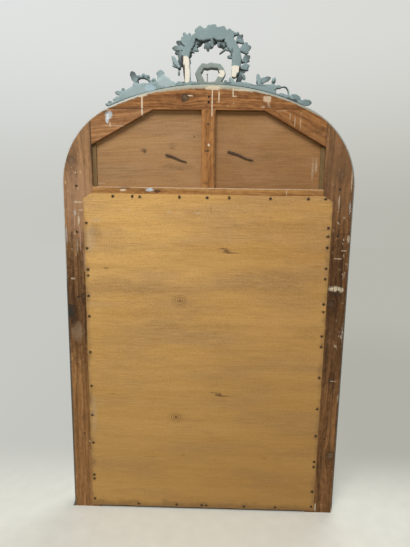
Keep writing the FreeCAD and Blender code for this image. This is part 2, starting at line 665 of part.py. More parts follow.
def crest_leaf(index, turn, root, length_share, width_share):
    """Leaf of the crest, tipped a little forward, at one of three depths in turn."""
    shape = leaf(length_share * CREST_LEAF_LENGTH, width_share * CREST_LEAF_WIDTH, CREST_LEAF_DEPTH)
    shape.rotate(V(0, 0, 0), V(1, 0, 0), CREST_LEAF_TILT)
    setback = LEAF_SETBACK_SHARES[index % len(LEAF_SETBACK_SHARES)] * SPRAY_THICKNESS
    return planted(shape, turn, root.x, BOARD_FRONT - setback, root.z)


def rose(x, z, radius, depth):
    """Domed flower head, flat behind."""
    dome = depth * (1 - ROSE_RIM_SHARE)
    ball_radius = (radius ** 2 + dome ** 2) / (2 * dome)
    head = Part.makeCylinder(radius, depth, V(x, BOARD_FRONT, z), V(0, -1, 0))
    return head.common(Part.makeSphere(ball_radius, V(x, BOARD_FRONT - depth + ball_radius, z)))


def crest_seat():
    """Everything under the arch's outer edge, cut away so that the crest sits on it."""
    return Part.makeCylinder(SEAT_RADIUS + CREST_SEAT_CLEARANCE, 2 * FOOT_DEPTH,
                             V(0, BOARD_FRONT - FOOT_DEPTH, CROWN_CENTRE), V(0, 1, 0))


def wreath_section(reference):
    half = WREATH_WIDTH / 2
    left = V(reference - half, BOARD_FRONT, 0)
    right = V(reference + half, BOARD_FRONT, 0)
    front = V(reference, BOARD_FRONT - WREATH_DEPTH, 0)
    return outline([Part.Arc(left, front, right), Part.LineSegment(right, left)])


def base_section(reference):
    return flat_section(reference, 0, WREATH_BASE_HEIGHT, BOARD_FRONT, BOARD_FRONT - WREATH_DEPTH)


def wreath():
    """Ring of leaves and roses on a low base that follows the arch, its left leg straight."""
    ring = arc_run(wreath_section, -WREATH_OFFSET, WREATH_CENTRE, WREATH_RADIUS,
                   -WREATH_LEG_TURN, HALF_TURN + WREATH_LEG_TURN)
    spread = math.degrees(math.asin(WREATH_BASE_HALF / SEAT_RADIUS))
    pieces = [arc_run(base_section, 0, CROWN_CENTRE, SEAT_RADIUS, QUARTER - spread, 2 * spread)]
    place = -WREATH_RADIUS - WREATH_OFFSET
    foot = arch_height(abs(place) + WREATH_WIDTH / 2, FACE_OVERHANG)
    pieces.append(upright_run(wreath_section, place, foot, WREATH_CENTRE))
    for turn, share in ROSE_TURNS_AND_SHARES:
        heart = polar(-WREATH_OFFSET, WREATH_CENTRE, WREATH_RADIUS, turn)
        pieces.append(rose(heart.x, heart.z, share * ROSE_RADIUS, ROSE_DEPTH))
    for index, (root_turn, turn, length_share, width_share) in enumerate(WREATH_LEAF_TURNS_AND_SHARES):
        root = polar(-WREATH_OFFSET, WREATH_CENTRE, WREATH_RADIUS, root_turn)
        pieces.append(crest_leaf(index, turn, root, length_share, width_share))
    return ring.fuse(pieces).cut([crest_seat()] + crest_dowels() + [crest_pin()]).removeSplitter()


def ribbon_loop():
    """Cornered loop of ribbon that stands on the wreath's base."""
    base = CROWN_TOP + FACE_OVERHANG
    right = [V(wide * LOOP_HALF_WIDTH, 0, high * LOOP_HEIGHT) for wide, high in LOOP_CORNER_SHARES]
    corners = right + [V(-point.x, 0, point.z) for point in reversed(right[:-1])]
    front = BOARD_FRONT - LOOP_DEPTH
    pieces = []
    for start, end in zip(corners[:-1], corners[1:]):
        span = end - start
        bar = box(-LOOP_BAND / 2, LOOP_BAND / 2, front, BOARD_FRONT, 0, span.Length)
        bar.rotate(V(0, 0, 0), V(0, 1, 0), math.degrees(math.atan2(span.x, span.z)))
        bar.translate(start)
        pieces.append(bar)
    for corner in corners:
        pieces.append(Part.makeCylinder(LOOP_BAND / 2, LOOP_DEPTH, corner + V(0, front, 0), V(0, 1, 0)))
    loop = pieces[0].fuse(pieces[1:])
    loop.translate(V(-WREATH_OFFSET, 0, base))
    base_top = Part.makeCylinder(SEAT_RADIUS + WREATH_BASE_HEIGHT + CREST_SEAT_CLEARANCE, 2 * FOOT_DEPTH,
                                 V(0, BOARD_FRONT - FOOT_DEPTH, CROWN_CENTRE), V(0, 1, 0))
    return loop.cut(base_top).removeSplitter()


def crest_pin():
    """Thin nail that stands up through the wreath's base, inside the loop."""
    top = V(CREST_PIN_PLACE, FACE_MIDDLE, CROWN_TOP + FACE_OVERHANG + CREST_PIN_RISE)
    return nail(top, V(0, 0, -1), CREST_PIN_LENGTH)


def spray_point(side, way, height):
    """Place on a spray: its way out along the arch and its height above the seat."""
    start = math.degrees(math.asin(SPRAY_START / SEAT_RADIUS))
    turn = start + way * (JOIN_TURN - start)
    return polar(0, CROWN_CENTRE, SEAT_RADIUS + height, side * turn)


def spray(side, edge_shares, leaf_rows, twig_shares, bud_turns):
    """Leafy blade that lies along the arch, out from the wreath."""
    edge = [spray_point(side, way, share * SPRAY_HEIGHT) for way, share in edge_shares]
    foot = [spray_point(side, way, -OVERRUN) for way in (1, 1 / 2, 0)]
    blade = slab(polygon(edge + foot), BOARD_FRONT - SPRAY_THICKNESS, BOARD_FRONT)
    way, middle_share, radius_share = twig_shares
    twig_radius = radius_share * TWIG_RADIUS
    middle = spray_point(side, way, middle_share * SPRAY_HEIGHT)
    middle.y = BOARD_FRONT - SPRAY_THICKNESS / 2
    pieces = [Part.makeTorus(twig_radius, TWIG_THICKNESS, middle, V(0, 1, 0))]
    for bud_turn in bud_turns:
        root = polar(middle.x, middle.z, twig_radius, side * bud_turn)
        bud = leaf(BUD_LENGTH, BUD_WIDTH, CREST_LEAF_DEPTH)
        pieces.append(planted(bud, side * bud_turn, root.x, middle.y, root.z))
    for index, (way, root_share, lean, length_share, width_share) in enumerate(leaf_rows):
        root = spray_point(side, way, root_share * SPRAY_HEIGHT)
        outwards = math.degrees(math.atan2(root.x, root.z - CROWN_CENTRE))
        pieces.append(crest_leaf(index, outwards + side * lean, root, length_share, width_share))
    leg_edge = WREATH_RADIUS + WREATH_WIDTH / 2 - side * WREATH_OFFSET + CREST_SEAT_CLEARANCE
    wreath_side = box(-leg_edge, leg_edge, BOARD_FRONT - FOOT_DEPTH, BOARD_FRONT, 0, WREATH_CENTRE)
    return blade.fuse(pieces).cut([crest_seat(), wreath_side] + crest_dowels()).removeSplitter()


def crest_dowels():
    """Upright dowels from the arch's edge into the wreath's legs and the sprays."""
    places = []
    for side in SIDES.values():
        places.append(side * WREATH_RADIUS - WREATH_OFFSET)
        places += [spray_point(side, share, 0).x for share in SPRAY_DOWEL_SHARES]
    dowels = []
    for x in places:
        foot = arch_height(x, FACE_OVERHANG) + CREST_DOWEL_RISE - CREST_DOWEL_LENGTH
        start = V(x, FACE_MIDDLE, foot)
        dowels.append(Part.makeCylinder(CREST_DOWEL_RADIUS, CREST_DOWEL_LENGTH, start, V(0, 0, 1)))
    return dowels


def garland_stem(reference):
    return flat_section(reference, -GARLAND_STEM_WIDTH / 2, GARLAND_STEM_WIDTH,
                        BOARD_FRONT, BOARD_FRONT - GARLAND_STEM_DEPTH)


def garland():
    """Laurel garland along the curve of the arch, two branches from a middle rose."""
    reach = math.degrees(math.asin(GARLAND_HALF_LENGTH / GARLAND_RADIUS))
    stem = arc_run(garland_stem, 0, CROWN_CENTRE, GARLAND_RADIUS, QUARTER - reach, 2 * reach)
    heart = polar(0, CROWN_CENTRE, GARLAND_RADIUS, 0)
    pieces = [rose(heart.x, heart.z, GARLAND_ROSE_RADIUS, GARLAND_ROSE_DEPTH)]
    for step in range(1, int(GARLAND_HALF_LENGTH / GARLAND_LEAF_SPACING) + 1):
        turn = math.degrees(step * GARLAND_LEAF_SPACING / GARLAND_RADIUS)
        for side in SIDES.values():
            root = polar(0, CROWN_CENTRE, GARLAND_RADIUS, side * turn)
            for lean in (-GARLAND_LEAF_LEAN, GARLAND_LEAF_LEAN):
                shape = leaf(GARLAND_LEAF_LENGTH, GARLAND_LEAF_WIDTH, GARLAND_LEAF_DEPTH)
                pieces.append(planted(shape, side * (turn + QUARTER + lean), root.x, BOARD_FRONT, root.z))
    return stem.fuse(pieces).cut(garland_nails()).removeSplitter()


def garland_nails():
    """Forged nails through garland and panel, bent over flat on the panel's back."""
    nails = []
    rows = ((RIGHT_CLINCH_PLACE, RIGHT_CLINCH_LENGTH), (-LEFT_CLINCH_PLACE, LEFT_CLINCH_LENGTH))
    for place, length in rows:
        height = CROWN_CENTRE + math.sqrt(GARLAND_RADIUS ** 2 - place ** 2)
        front = V(place, BOARD_FRONT - GARLAND_LEAF_DEPTH, height)
        bend = V(place, PANEL_BACK + CLINCH_RADIUS, height)
        head = Part.makeCylinder(CLINCH_HEAD_RADIUS, CLINCH_HEAD_THICKNESS, front, V(0, -1, 0))
        shank = Part.makeCylinder(CLINCH_RADIUS, bend.y - front.y, front, V(0, 1, 0))
        knee = Part.makeSphere(CLINCH_RADIUS, bend)
        clinch = Part.makeCone(CLINCH_RADIUS, CLINCH_TIP_RADIUS, length, bend, polar(0, 0, 1, CLINCH_TURN))
        nails.append(head.fuse([shank, knee, clinch]))
    return nails


# Every piece, by name
pegs = haunch_dowels()
pins = lath_pins()
wires = back_board_nails()
spikes = frame_nails()
clinched = garland_nails()
stile_holes = wires + spikes

nodes = {
    "bottom_rail": rail(BOTTOM_RAIL_LIFT, BOTTOM_RAIL_TOP).cut(wires),
    "middle_rail": middle_rail().cut(wires),
    "top_rail": top_rail(),
    "muntin": muntin().cut(spikes),
    "haunch_dowels": Part.makeCompound(pegs + [sided(peg, -1) for peg in pegs]),
    "upper_panel": upper_panel().cut(clinched + spikes),
    "lath_pins": Part.makeCompound(pins + [sided(pin, -1) for pin in pins]),
    "mirror_glass": mirror_glass(),
    "glass_blocks": Part.makeCompound(glass_blocks()),
    "back_board": back_board().cut(wires),
    "back_board_nails": Part.makeCompound(wires),
    "frame_nails": Part.makeCompound(spikes),
    "face_bottom_rail": face_rail(0, MIRROR_SIGHT_FOOT),
    "face_middle_rail": face_rail(MIRROR_SIGHT_TOP, SPRING_HEIGHT),
    "face_crown": crown_run(face_section, SIGHT_OFFSET).cut(crest_dowels() + [crest_pin()]),
    "outer_moulding_crown": crown_run(outer_section, OUTER_OFFSET),
    "base_moulding": base_moulding(),
    "panel_moulding_bottom": panel_moulding_bottom(),
    "panel_moulding_crown": crown_run(sight_section, SIGHT_OFFSET),
    "garland": garland(),
    "garland_nails": Part.makeCompound(clinched),
    "wreath": wreath(),
    "ribbon_loop": ribbon_loop(),
    "crest_pin": crest_pin(),
    "crest_dowels": Part.makeCompound(crest_dowels()),
    "right_spray": spray(1, RIGHT_SPRAY_EDGE_SHARES, RIGHT_SPRAY_LEAVES_AND_SHARES,
                         RIGHT_TWIG_SHARES, RIGHT_BUD_TURNS),
    "left_spray": spray(-1, LEFT_SPRAY_EDGE_SHARES, LEFT_SPRAY_LEAVES_AND_SHARES,
                        LEFT_TWIG_SHARES, LEFT_BUD_TURNS),
}
for position in ("left", "right", "top", "bottom"):
    nodes["mirror_moulding_" + position] = mirror_moulding(position)
for name, side in SIDES.items():
    nodes[name + "_stile"] = sided(stile(), side).cut(stile_holes)
    nodes[name + "_haunch"] = sided(haunch(), side)
    nodes[name + "_panel_lath"] = sided(panel_lath(), side)
    nodes[name + "_foot"] = sided(foot_block(), side)
    face_stile = upright_run(face_section, SIGHT_HALF, FOOT_HEIGHT, SPRING_HEIGHT)
    nodes["face_%s_stile" % name] = sided(face_stile, side).cut(spikes)
    nodes["face_%s_haunch" % name] = sided(shoulder_run(face_section, SIGHT_OFFSET), side)
    outer_leg = upright_run(outer_section, HALF + OUTER_OFFSET, FOOT_HEIGHT, SPRING_HEIGHT)
    nodes["outer_moulding_" + name] = sided(outer_leg, side)
    outer_shoulder = shoulder_run(outer_section, OUTER_OFFSET)
    nodes["outer_moulding_%s_shoulder" % name] = sided(outer_shoulder, side)
    nodes["panel_moulding_%s_shoulder" % name] = sided(panel_moulding_shoulder(), side)
nodes["right_foot"] = nodes["right_foot"].fuse(foot_return()).removeSplitter()

os.makedirs("parts", exist_ok=True)
for node, shape in nodes.items():
    shape.exportStep("parts/%s.step" % node)
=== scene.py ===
import math

import bmesh
import bpy
from mathutils import Matrix, Vector, noise


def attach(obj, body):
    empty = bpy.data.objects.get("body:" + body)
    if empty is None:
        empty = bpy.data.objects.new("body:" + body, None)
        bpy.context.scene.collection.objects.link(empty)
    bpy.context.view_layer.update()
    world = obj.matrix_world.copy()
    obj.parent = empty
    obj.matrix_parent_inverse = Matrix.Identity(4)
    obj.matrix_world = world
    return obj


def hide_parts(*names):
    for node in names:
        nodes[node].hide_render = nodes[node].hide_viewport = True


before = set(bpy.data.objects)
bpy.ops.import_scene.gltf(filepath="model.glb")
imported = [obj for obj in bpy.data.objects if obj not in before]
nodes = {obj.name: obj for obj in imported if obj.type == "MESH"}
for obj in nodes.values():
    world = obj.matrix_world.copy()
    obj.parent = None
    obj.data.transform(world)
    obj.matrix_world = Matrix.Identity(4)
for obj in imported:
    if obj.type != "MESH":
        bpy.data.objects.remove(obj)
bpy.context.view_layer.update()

# Stiles: two full-height pine boards, planed and left bare behind. They carry old nail
# holes, knots, scuffs and runs of the paint from the front, and the left one is darker,
# partly in its own tone and partly as painted shade. A dark grey band along the right
# one's outer edge is painted shade.
MM = 0.001


class Channel:
    """One socket of a finish. Arithmetic on it adds Math nodes."""

    def __init__(self, finish, socket):
        self.finish = finish
        self.socket = socket

    def math(self, operation, *values):
        return self.finish.node("ShaderNodeMath", {"operation": operation}, dict(enumerate(values)))

    def __add__(self, other):
        return self.math("ADD", self, other)

    def __sub__(self, other):
        return self.math("SUBTRACT", self, other)

    def __rsub__(self, other):
        return self.math("SUBTRACT", other, self)

    def __mul__(self, other):
        return self.math("MULTIPLY", self, other)

    def __truediv__(self, other):
        return self.math("DIVIDE", self, other)

    def __pow__(self, other):
        return self.math("POWER", self, other)

    __radd__ = __add__
    __rmul__ = __mul__

    def size(self):
        return self.math("ABSOLUTE", self)

    def most(self, other):
        return self.math("MAXIMUM", self, other)

    def fraction(self):
        return self.math("FRACT", self)

    def rise(self, start, end):
        """0 at start, 1 at end, with soft ends."""
        return self.finish.node("ShaderNodeMapRange", {"interpolation_type": "SMOOTHSTEP"},
                                {"Value": self, "From Min": start, "From Max": end})


class Finish:
    """A material: nodes round one Principled shader, laid out in the part's own frame."""

    def __init__(self, name):
        self.material = bpy.data.materials.new(name)
        self.material.use_nodes = True
        self.tree = self.material.node_tree
        self.shader = self.tree.nodes["Principled BSDF"]
        self.place = self.node("ShaderNodeTexCoord", {}, {}, "Object")
        self.x, self.y, self.z = [self.node("ShaderNodeSeparateXYZ", {}, {0: self.place}, axis)
                                  for axis in "XYZ"]

    def node(self, kind, settings, sockets, output=0):
        made = self.tree.nodes.new(kind)
        for name, value in settings.items():
            setattr(made, name, value)
        for key, value in sockets.items():
            self.feed(made.inputs[key], value)
        return Channel(self, made.outputs[output])

    def feed(self, socket, value):
        if isinstance(value, Channel):
            self.tree.links.new(value.socket, socket)
        else:
            socket.default_value = value

    def dress(self, **values):
        """Feeds the shader: Base_Color, Roughness and so on."""
        for name, value in values.items():
            self.feed(self.shader.inputs[name.replace("_", " ")], value)
        return self.material

    def cells(self, stretch, detail=2.0, place=None):
        """Noise from 0 to 1, with so many cells per metre along each axis."""
        vector = self.node("ShaderNodeVectorMath", {"operation": "MULTIPLY"},
                           {0: place or self.place, 1: stretch})
        return self.node("ShaderNodeTexNoise", {}, {"Vector": vector, "Scale": 1.0, "Detail": detail})

    def mix(self, amount, first, second, blend="MIX"):
        return self.node("ShaderNodeMix", {"data_type": "RGBA", "blend_type": blend},
                         {0: amount, 6: first, 7: second}, 2)

    def bump(self, height, strength, distance):
        return self.node("ShaderNodeBump", {}, {"Height": height, "Strength": strength,
                                                "Distance": distance})

    def spot(self, fray, x, z, half_width, half_height, corner=2, soft=0.4):
        """A mark at a place in millimetres on the back: 1 inside, 0 outside, with a frayed rim."""
        across = (self.x - x * MM) / (half_width * MM)
        up = (self.z - z * MM) / (half_height * MM)
        reach = across.size() ** corner + up.size() ** corner + fray
        return reach.rise(1 + soft, 1 - soft)


def rgb(red, green, blue):
    return (red, green, blue, 1.0)


CREAM = rgb(0.66, 0.54, 0.38)
PALE_BLUE = rgb(0.5, 0.58, 0.62)
BRUISE = rgb(0.035, 0.02, 0.012)
UMBER = rgb(0.06, 0.024, 0.007)
RED_STAIN = rgb(0.34, 0.155, 0.046)
ROSY = rgb(0.5, 0.3, 0.22)
# Dark grey band painted along the right stile's outer edge: painted shade of the face's side beyond it.
EDGE_SHADE_GREY = rgb(0.07, 0.062, 0.05)


def pine(name, lean, light, dark, stain, offset, knots=(), lines=95):
    """Bare pine whose grain leans so many degrees from upright and flows round its knots."""
    finish = Finish(name)
    slope, fall = math.sin(math.radians(lean)), math.cos(math.radians(lean))
    along = finish.x * slope + finish.z * fall
    across = finish.x * fall - finish.z * slope
    heart = 0.0
    rim = 0.0
    swirl = 0.0
    bend = finish.cells((2.5, 2.5, 2.5), 2.0) * 0.03
    for x, z, radius in knots:
        aside = (across - (x * fall - z * slope) * MM) / (radius * MM)
        ahead = (along - (x * slope + z * fall) * MM) / (radius * MM)
        spread = aside * aside + ahead * ahead * 0.3
        bend = bend - aside * (radius * MM) / (spread * 0.5 + 1)
        away = (aside * aside + ahead * ahead * 0.8) ** 0.5 + (finish.cells((130, 130, 130)) - 0.5) * 0.9
        heart = away.rise(1.1, 0.9).most(heart)
        rim = (away.rise(1.3, 1.0) * away.rise(0.6, 0.9)).most(rim)
        swirl = (spread ** 0.5).rise(3.2, 1.0).most(swirl)
    board = finish.node("ShaderNodeCombineXYZ", {}, {0: across + bend + offset, 1: finish.y, 2: along})
    turns = ((across + bend) * 55 + finish.cells((7, 7, 1.2), 2.0, board) * 9).fraction()
    broken = finish.cells((9, 9, 4), 2.0, board).rise(0.35, 0.6)
    late = turns.rise(0.1, 0.9) * turns.rise(1.0, 0.93) * broken
    zone = finish.cells((14, 14, 5), 3.0, board)
    line = finish.cells((lines, lines, 3.0), 4.0, board)
    fine = finish.cells((330, 330, 10), 3.0, board)
    mottle = finish.cells((130, 130, 48), 3.0, board)
    shade = line.rise(0.37, 0.63) * 0.5 + fine.rise(0.36, 0.64) * 0.28
    shade = shade + mottle.rise(0.38, 0.62) * 0.3 + swirl * 0.25
    colour = finish.mix(shade - 0.06, light, dark)
    colour = finish.mix(late * 0.45, colour, dark)
    colour = finish.mix(zone.rise(0.5, 0.7) * 0.6, colour, stain)
    core = finish.mix(fine, rgb(0.055, 0.036, 0.02), rgb(0.15, 0.105, 0.062))
    colour = finish.mix(heart * 0.8, colour, core)
    colour = finish.mix(rim * 0.8, colour, BRUISE)
    return finish, colour, late * 0.3 + line * 0.4 + fine * 0.4


def worn(finish, colour, relief, *marks, flecked=()):
    """Old paint, plaster, bruises, painted shade and highlights laid over the wood in broken patches, then
    the shader.
    """
    crumb = finish.cells((210, 210, 210), 3.0)
    coarse = finish.cells((75, 75, 75), 3.0)
    tiny = finish.cells((430, 430, 430), 2.0)
    fray = (crumb - 0.5) * 2.0 + (coarse - 0.5) * 2.6 + (tiny - 0.5) * 3.0
    colour = finish.mix(coarse.rise(0.66, 0.72) * crumb.rise(0.4, 0.6) * 0.3, colour, CREAM)
    colour = finish.mix(coarse.rise(0.34, 0.28) * 0.5, colour, BRUISE)
    cover = crumb.rise(0.25, 0.55) * 0.5 + 0.5
    for tint, strength, *mark in marks:
        colour = finish.mix(finish.spot(fray, *mark) * cover * strength, colour, tint)
    fleck = finish.cells((190, 190, 70), 3.0)
    for x, z, half_width, half_height in flecked:
        thick = finish.spot(0.0, x, z, half_width, half_height, 2, 0.9) * coarse.rise(0.5, 0.62)
        colour = finish.mix(fleck.rise(0.6, 0.66) * thick * 0.55, colour, CREAM)
    return finish.dress(Base_Color=colour, Roughness=relief * 0.2 + 0.6, Specular_IOR_Level=0.2,
                        Normal=finish.bump(relief, 0.4, 0.0006))


def clothe(material, *names):
    """Gives carried-over pieces their finish."""
    for name in names:
        mesh = nodes[name].data
        mesh.materials.clear()
        mesh.materials.append(material)


red_pine = pine("right_stile_pine", 0, rgb(0.46, 0.24, 0.095), rgb(0.075, 0.031, 0.01),
                rgb(0.2, 0.108, 0.05), 0.0,
                ((414, 1167, 12), (432, 700, 16), (388, 745, 9), (402, 330, 6)))
clothe(worn(*red_pine,
            (rgb(0.29, 0.16, 0.08), 0.55, 390, 1160, 75, 150, 2, 0.9),
            (rgb(0.1, 0.055, 0.03), 0.75, 414, 1167, 12.6, 13.2, 2, 0.6),
            (rgb(0.2, 0.115, 0.065), 0.7, 413, 1166, 7.2, 7.2, 2, 0.7),
            # Painted shade: a dark grey band along the outer edge at x 441.
            (RED_STAIN, 0.5, 408, 270, 60, 330, 4, 0.8), (EDGE_SHADE_GREY, 0.7, 441, 420, 5, 420, 4),
            (rgb(0.4, 0.235, 0.14), 0.45, 400, 1030, 50, 110, 2, 0.9),
            (UMBER, 0.65, 408, 730, 60, 200, 2, 0.9), (rgb(0.3, 0.2, 0.12), 0.6, 412, 628, 18, 30, 2, 0.8),
            (CREAM, 0.7, 397, 1042, 14, 2.5), (CREAM, 0.65, 397, 988, 3.2, 17),
            (CREAM, 0.8, 402, 1130, 3, 2), (CREAM, 0.5, 390, 1018, 9, 2), (CREAM, 0.75, 421, 803, 6, 3),
            (CREAM, 0.5, 404, 905, 2, 22), (PALE_BLUE, 0.5, 408, 1010, 3, 8),
            (PALE_BLUE, 0.4, 436, 940, 2, 26), (CREAM, 0.7, 385, 245, 3, 4),
            (rgb(0.03, 0.026, 0.02), 1, 433, 694, 11, 24), (BRUISE, 0.6, 424, 664, 10, 14),
            (BRUISE, 1, 405, 951, 3.6, 3.6), (BRUISE, 1, 400, 1091, 3.4, 3.4),
            (BRUISE, 0.9, 408, 743, 3.6, 3.6), (BRUISE, 0.35, 418, 935, 7, 16),
            (BRUISE, 0.5, 384, 640, 3, 60), (BRUISE, 0.55, 382, 265, 2.4, 70),
            (BRUISE, 0.5, 352, 1180, 2, 90), (UMBER, 0.4, 395, 850, 2.5, 90, 4),
            (UMBER, 0.4, 420, 770, 3, 90, 4), (UMBER, 0.35, 404, 800, 2, 120, 4),
            (UMBER, 0.4, 386, 690, 3, 70, 4), (UMBER, 0.35, 400, 350, 2, 170, 4),
            (UMBER, 0.35, 424, 300, 2.5, 150, 4), (UMBER, 0.3, 390, 480, 2, 110, 4),
            (UMBER, 0.3, 410, 160, 2, 110, 4), (UMBER, 0.3, 432, 1010, 2, 120, 4),
            (BRUISE, 0.8, 353, 1235, 1.6, 60, 4), (ROSY, 0.6, 394, 930, 2, 40, 4),
            (ROSY, 0.55, 384, 862, 1.8, 34, 4), (ROSY, 0.5, 410, 985, 1.6, 24, 4),
            flecked=((404, 1030, 34, 70), (400, 1120, 40, 60), (400, 900, 26, 60))), "right_stile")
# Left stile: darker pine, partly its own tone and partly painted shade.
dark_pine = pine("left_stile_pine", 0, rgb(0.29, 0.137, 0.049), rgb(0.048, 0.018, 0.005),
                 rgb(0.105, 0.051, 0.019), 0.37,
                 ((-427, 213, 13), (-396, 735, 11), (-404, 1135, 8), (-410, 480, 6)))
clothe(worn(*dark_pine,
            (UMBER, 0.6, -410, 700, 50, 230, 2, 0.9), (UMBER, 0.2, -408, 1040, 50, 110, 2, 0.9),
            (rgb(0.22, 0.115, 0.054), 0.5, -392, 1160, 75, 150, 2, 0.9), (CREAM, 0.6, -436, 942, 4, 11),
            (BRUISE, 0.5, -411, 957, 28, 1.6, 4), (BRUISE, 0.45, -414, 936, 24, 1.6, 4),
            (BRUISE, 0.4, -406, 915, 26, 1.5, 4), (RED_STAIN, 0.15, -408, 190, 60, 240, 4, 0.8),
            (BRUISE, 0.7, -408, 776, 26, 18), (CREAM, 1, -403, 785, 16, 8, 2, 0.7),
            (CREAM, 0.9, -425, 781, 7, 7, 2, 0.8), (BRUISE, 0.8, -400, 779, 1.4, 8, 4),
            (BRUISE, 0.7, -413, 783, 1.3, 8, 4), (BRUISE, 0.6, -393, 790, 7, 1.2, 4),
            (CREAM, 0.5, -400, 1052, 2, 26), (CREAM, 0.6, -434, 1120, 2, 30),
            (CREAM, 0.75, -386, 20, 3, 14, 4), (CREAM, 0.6, -437, 420, 2, 14),
            (CREAM, 0.6, -418, 478, 9, 2), (CREAM, 0.6, -406, 880, 12, 2),
            (PALE_BLUE, 0.5, -434, 1040, 2, 24), (PALE_BLUE, 0.4, -436, 640, 2, 30),
            (CREAM, 0.6, -425, 905, 8, 2), (BRUISE, 0.9, -400, 1091, 3.4, 3.4),
            (BRUISE, 0.9, -402, 950, 3.4, 3.4), (BRUISE, 0.5, -436, 1180, 3, 60),
            (BRUISE, 0.45, -372, 640, 2.5, 300), (BRUISE, 0.4, -436, 560, 2, 420),
            (BRUISE, 0.5, -392, 560, 2.5, 120, 4), (BRUISE, 0.5, -420, 380, 2.5, 150, 4),
            (BRUISE, 0.45, -404, 960, 2, 110, 4), (BRUISE, 0.4, -396, 130, 2, 100, 4),
            (BRUISE, 0.45, -424, 840, 2.5, 80, 4),
            flecked=((-420, 1000, 26, 60), (-424, 880, 26, 70), (-420, 620, 24, 60))), "left_stile")

# Crown board and haunches: the arch's pine boards, glued edge to edge with dowels. Paint
# from the front has run down them in drips, and two screw holes for a hanger show.
warm = rgb(0.375, 0.166, 0.052), rgb(0.115, 0.04, 0.009), rgb(0.225, 0.106, 0.039)
ARCH_CENTRE, ARCH_RADIUS = 0.66908, 0.71343


def edge_paint(finish, colour, relief):
    """Thin paint that has run over the arch's edge on to the wood, thickest under the crest."""
    rise = finish.z - ARCH_CENTRE
    reach = (finish.x * finish.x + rise * rise) ** 0.5 + (finish.cells((90, 90, 90), 3.0) - 0.5) * 0.008
    spread = finish.x.size().rise(0.17, 0.08) * 0.005 + finish.x.rise(0.05, 0.2) * 0.001 + 0.001
    run = (ARCH_RADIUS - reach) / spread
    return finish, finish.mix(run.rise(1.6, 0.4) * 0.75, colour, rgb(0.39, 0.405, 0.325)), relief


crown_pine = edge_paint(*pine("crown_pine", 90, *warm, 0.11, ((70, 1349, 9),), 140))
runs = ((CREAM, 0.95, -10, 1341, 1.5, 36, 4), (CREAM, 0.9, 197, 1328, 2.2, 34, 4),
        (CREAM, 0.75, 198, 1356, 16, 7),
        (BRUISE, 0.85, 250, 1317, 70, 1.4, 4))
clothe(worn(*crown_pine, *runs,
            (CREAM, 0.9, -30, 1354, 1.7, 15, 4), (CREAM, 0.85, -71, 1365, 1.7, 12, 4),
            (CREAM, 0.7, -77, 1355, 5, 1.6), (CREAM, 0.95, 55, 1355, 7, 1.8),
            (CREAM, 0.8, -14, 1378, 24, 7), (CREAM, 0.65, -110, 1372, 40, 2.5),
            (CREAM, 0.65, -171, 1348, 11, 8, 4, 0.8), (CREAM, 0.4, -160, 1326, 6, 3, 2, 0.8),
            (CREAM, 0.4, -176, 1334, 4, 9, 2, 0.8), (BRUISE, 1, 0, 1352.5, 4.2, 4.2),
            (BRUISE, 1, 0, 1337.5, 4.2, 4.2),
            (BRUISE, 0.5, 74, 1343, 6, 8)),
       "top_rail")
blotched_pine = edge_paint(*pine("right_haunch_pine", 96, rgb(0.41, 0.2, 0.08), rgb(0.19, 0.08, 0.027),
                                 rgb(0.28, 0.14, 0.06), 0.17, (), 150))
clothe(worn(*blotched_pine, *runs,
            (PALE_BLUE, 0.75, 297, 1300, 10, 13), (PALE_BLUE, 0.75, 301, 1287, 5, 11),
            (BRUISE, 0.6, 306, 1308, 10, 5),
            (rgb(0.62, 0.61, 0.58), 0.8, 300, 1294, 4, 7), (CREAM, 0.6, 293, 1272, 2, 8),
            (CREAM, 0.4, 240, 1268, 70, 1.5, 4)),
       "right_haunch")
slant_pine = edge_paint(*pine("left_haunch_pine", 62, *warm, 0.23, (), 190))
clothe(worn(*slant_pine,
            (CREAM, 0.45, -255, 1285, 1.4, 16), (CREAM, 0.4, -272, 1281, 1.4, 18),
            (CREAM, 0.4, -240, 1300, 1.2, 12),
            (BRUISE, 0.35, -330, 1262, 14, 9), (CREAM, 0.5, -215, 1316, 16, 1.4),
            (BRUISE, 0.5, -350, 1240, 1.5, 60)),
       "left_haunch")

# Muntin and rails: pine bars between the stiles, tenoned. The muntin stands behind the
# upper panel, and the middle rail shows as a strip above the plywood.
clothe(worn(*pine("muntin_pine", 0, rgb(0.39, 0.175, 0.053), rgb(0.155, 0.057, 0.013),
                  rgb(0.265, 0.126, 0.045), 0.53),
            (CREAM, 0.95, -2, 1216, 3, 4), (CREAM, 0.9, -10, 1310, 1.5, 12, 4),
            (BRUISE, 0.9, 6, 1199, 2.4, 2),
            (BRUISE, 0.8, 2, 1276, 2.6, 2), (BRUISE, 0.35, 4, 1104, 9, 4),
            (BRUISE, 0.4, -18, 1200, 1.5, 110)), "muntin")
clothe(worn(*pine("rail_pine", 90, rgb(0.5, 0.255, 0.08), rgb(0.2, 0.08, 0.02), rgb(0.345, 0.175, 0.06),
                  0.71),
            # The long cream line at z 1089 is a painted highlight along the middle rail's top arris.
            (CREAM, 0.95, 258, 1080, 10, 3), (CREAM, 0.65, 0, 1089, 350, 1.5, 4),
            (CREAM, 0.5, -240, 1077, 2, 8), (PALE_BLUE, 0.9, 176, 1082, 11, 5),
            (BRUISE, 0.9, 152, 1079, 10, 4), (BRUISE, 0.5, 250, 1088, 16, 3),
            (BRUISE, 0.85, 0, 6, 360, 4, 4)), "middle_rail", "bottom_rail")

# Haunch and crest dowels: turned beech pegs, glued into bored holes. They are hidden in
# the joints, and only their ends could ever show.
dowel_finish = pine("dowel_beech", 0, rgb(0.5, 0.34, 0.18), rgb(0.36, 0.22, 0.1), rgb(0.42, 0.28, 0.14),
                    0.9)
clothe(worn(*dowel_finish), "haunch_dowels", "crest_dowels")

# Upper panel and laths: a thin board at the front of the recess, held behind by the
# muntin and by two pinned laths. Dull, dusty wood with level streaks.


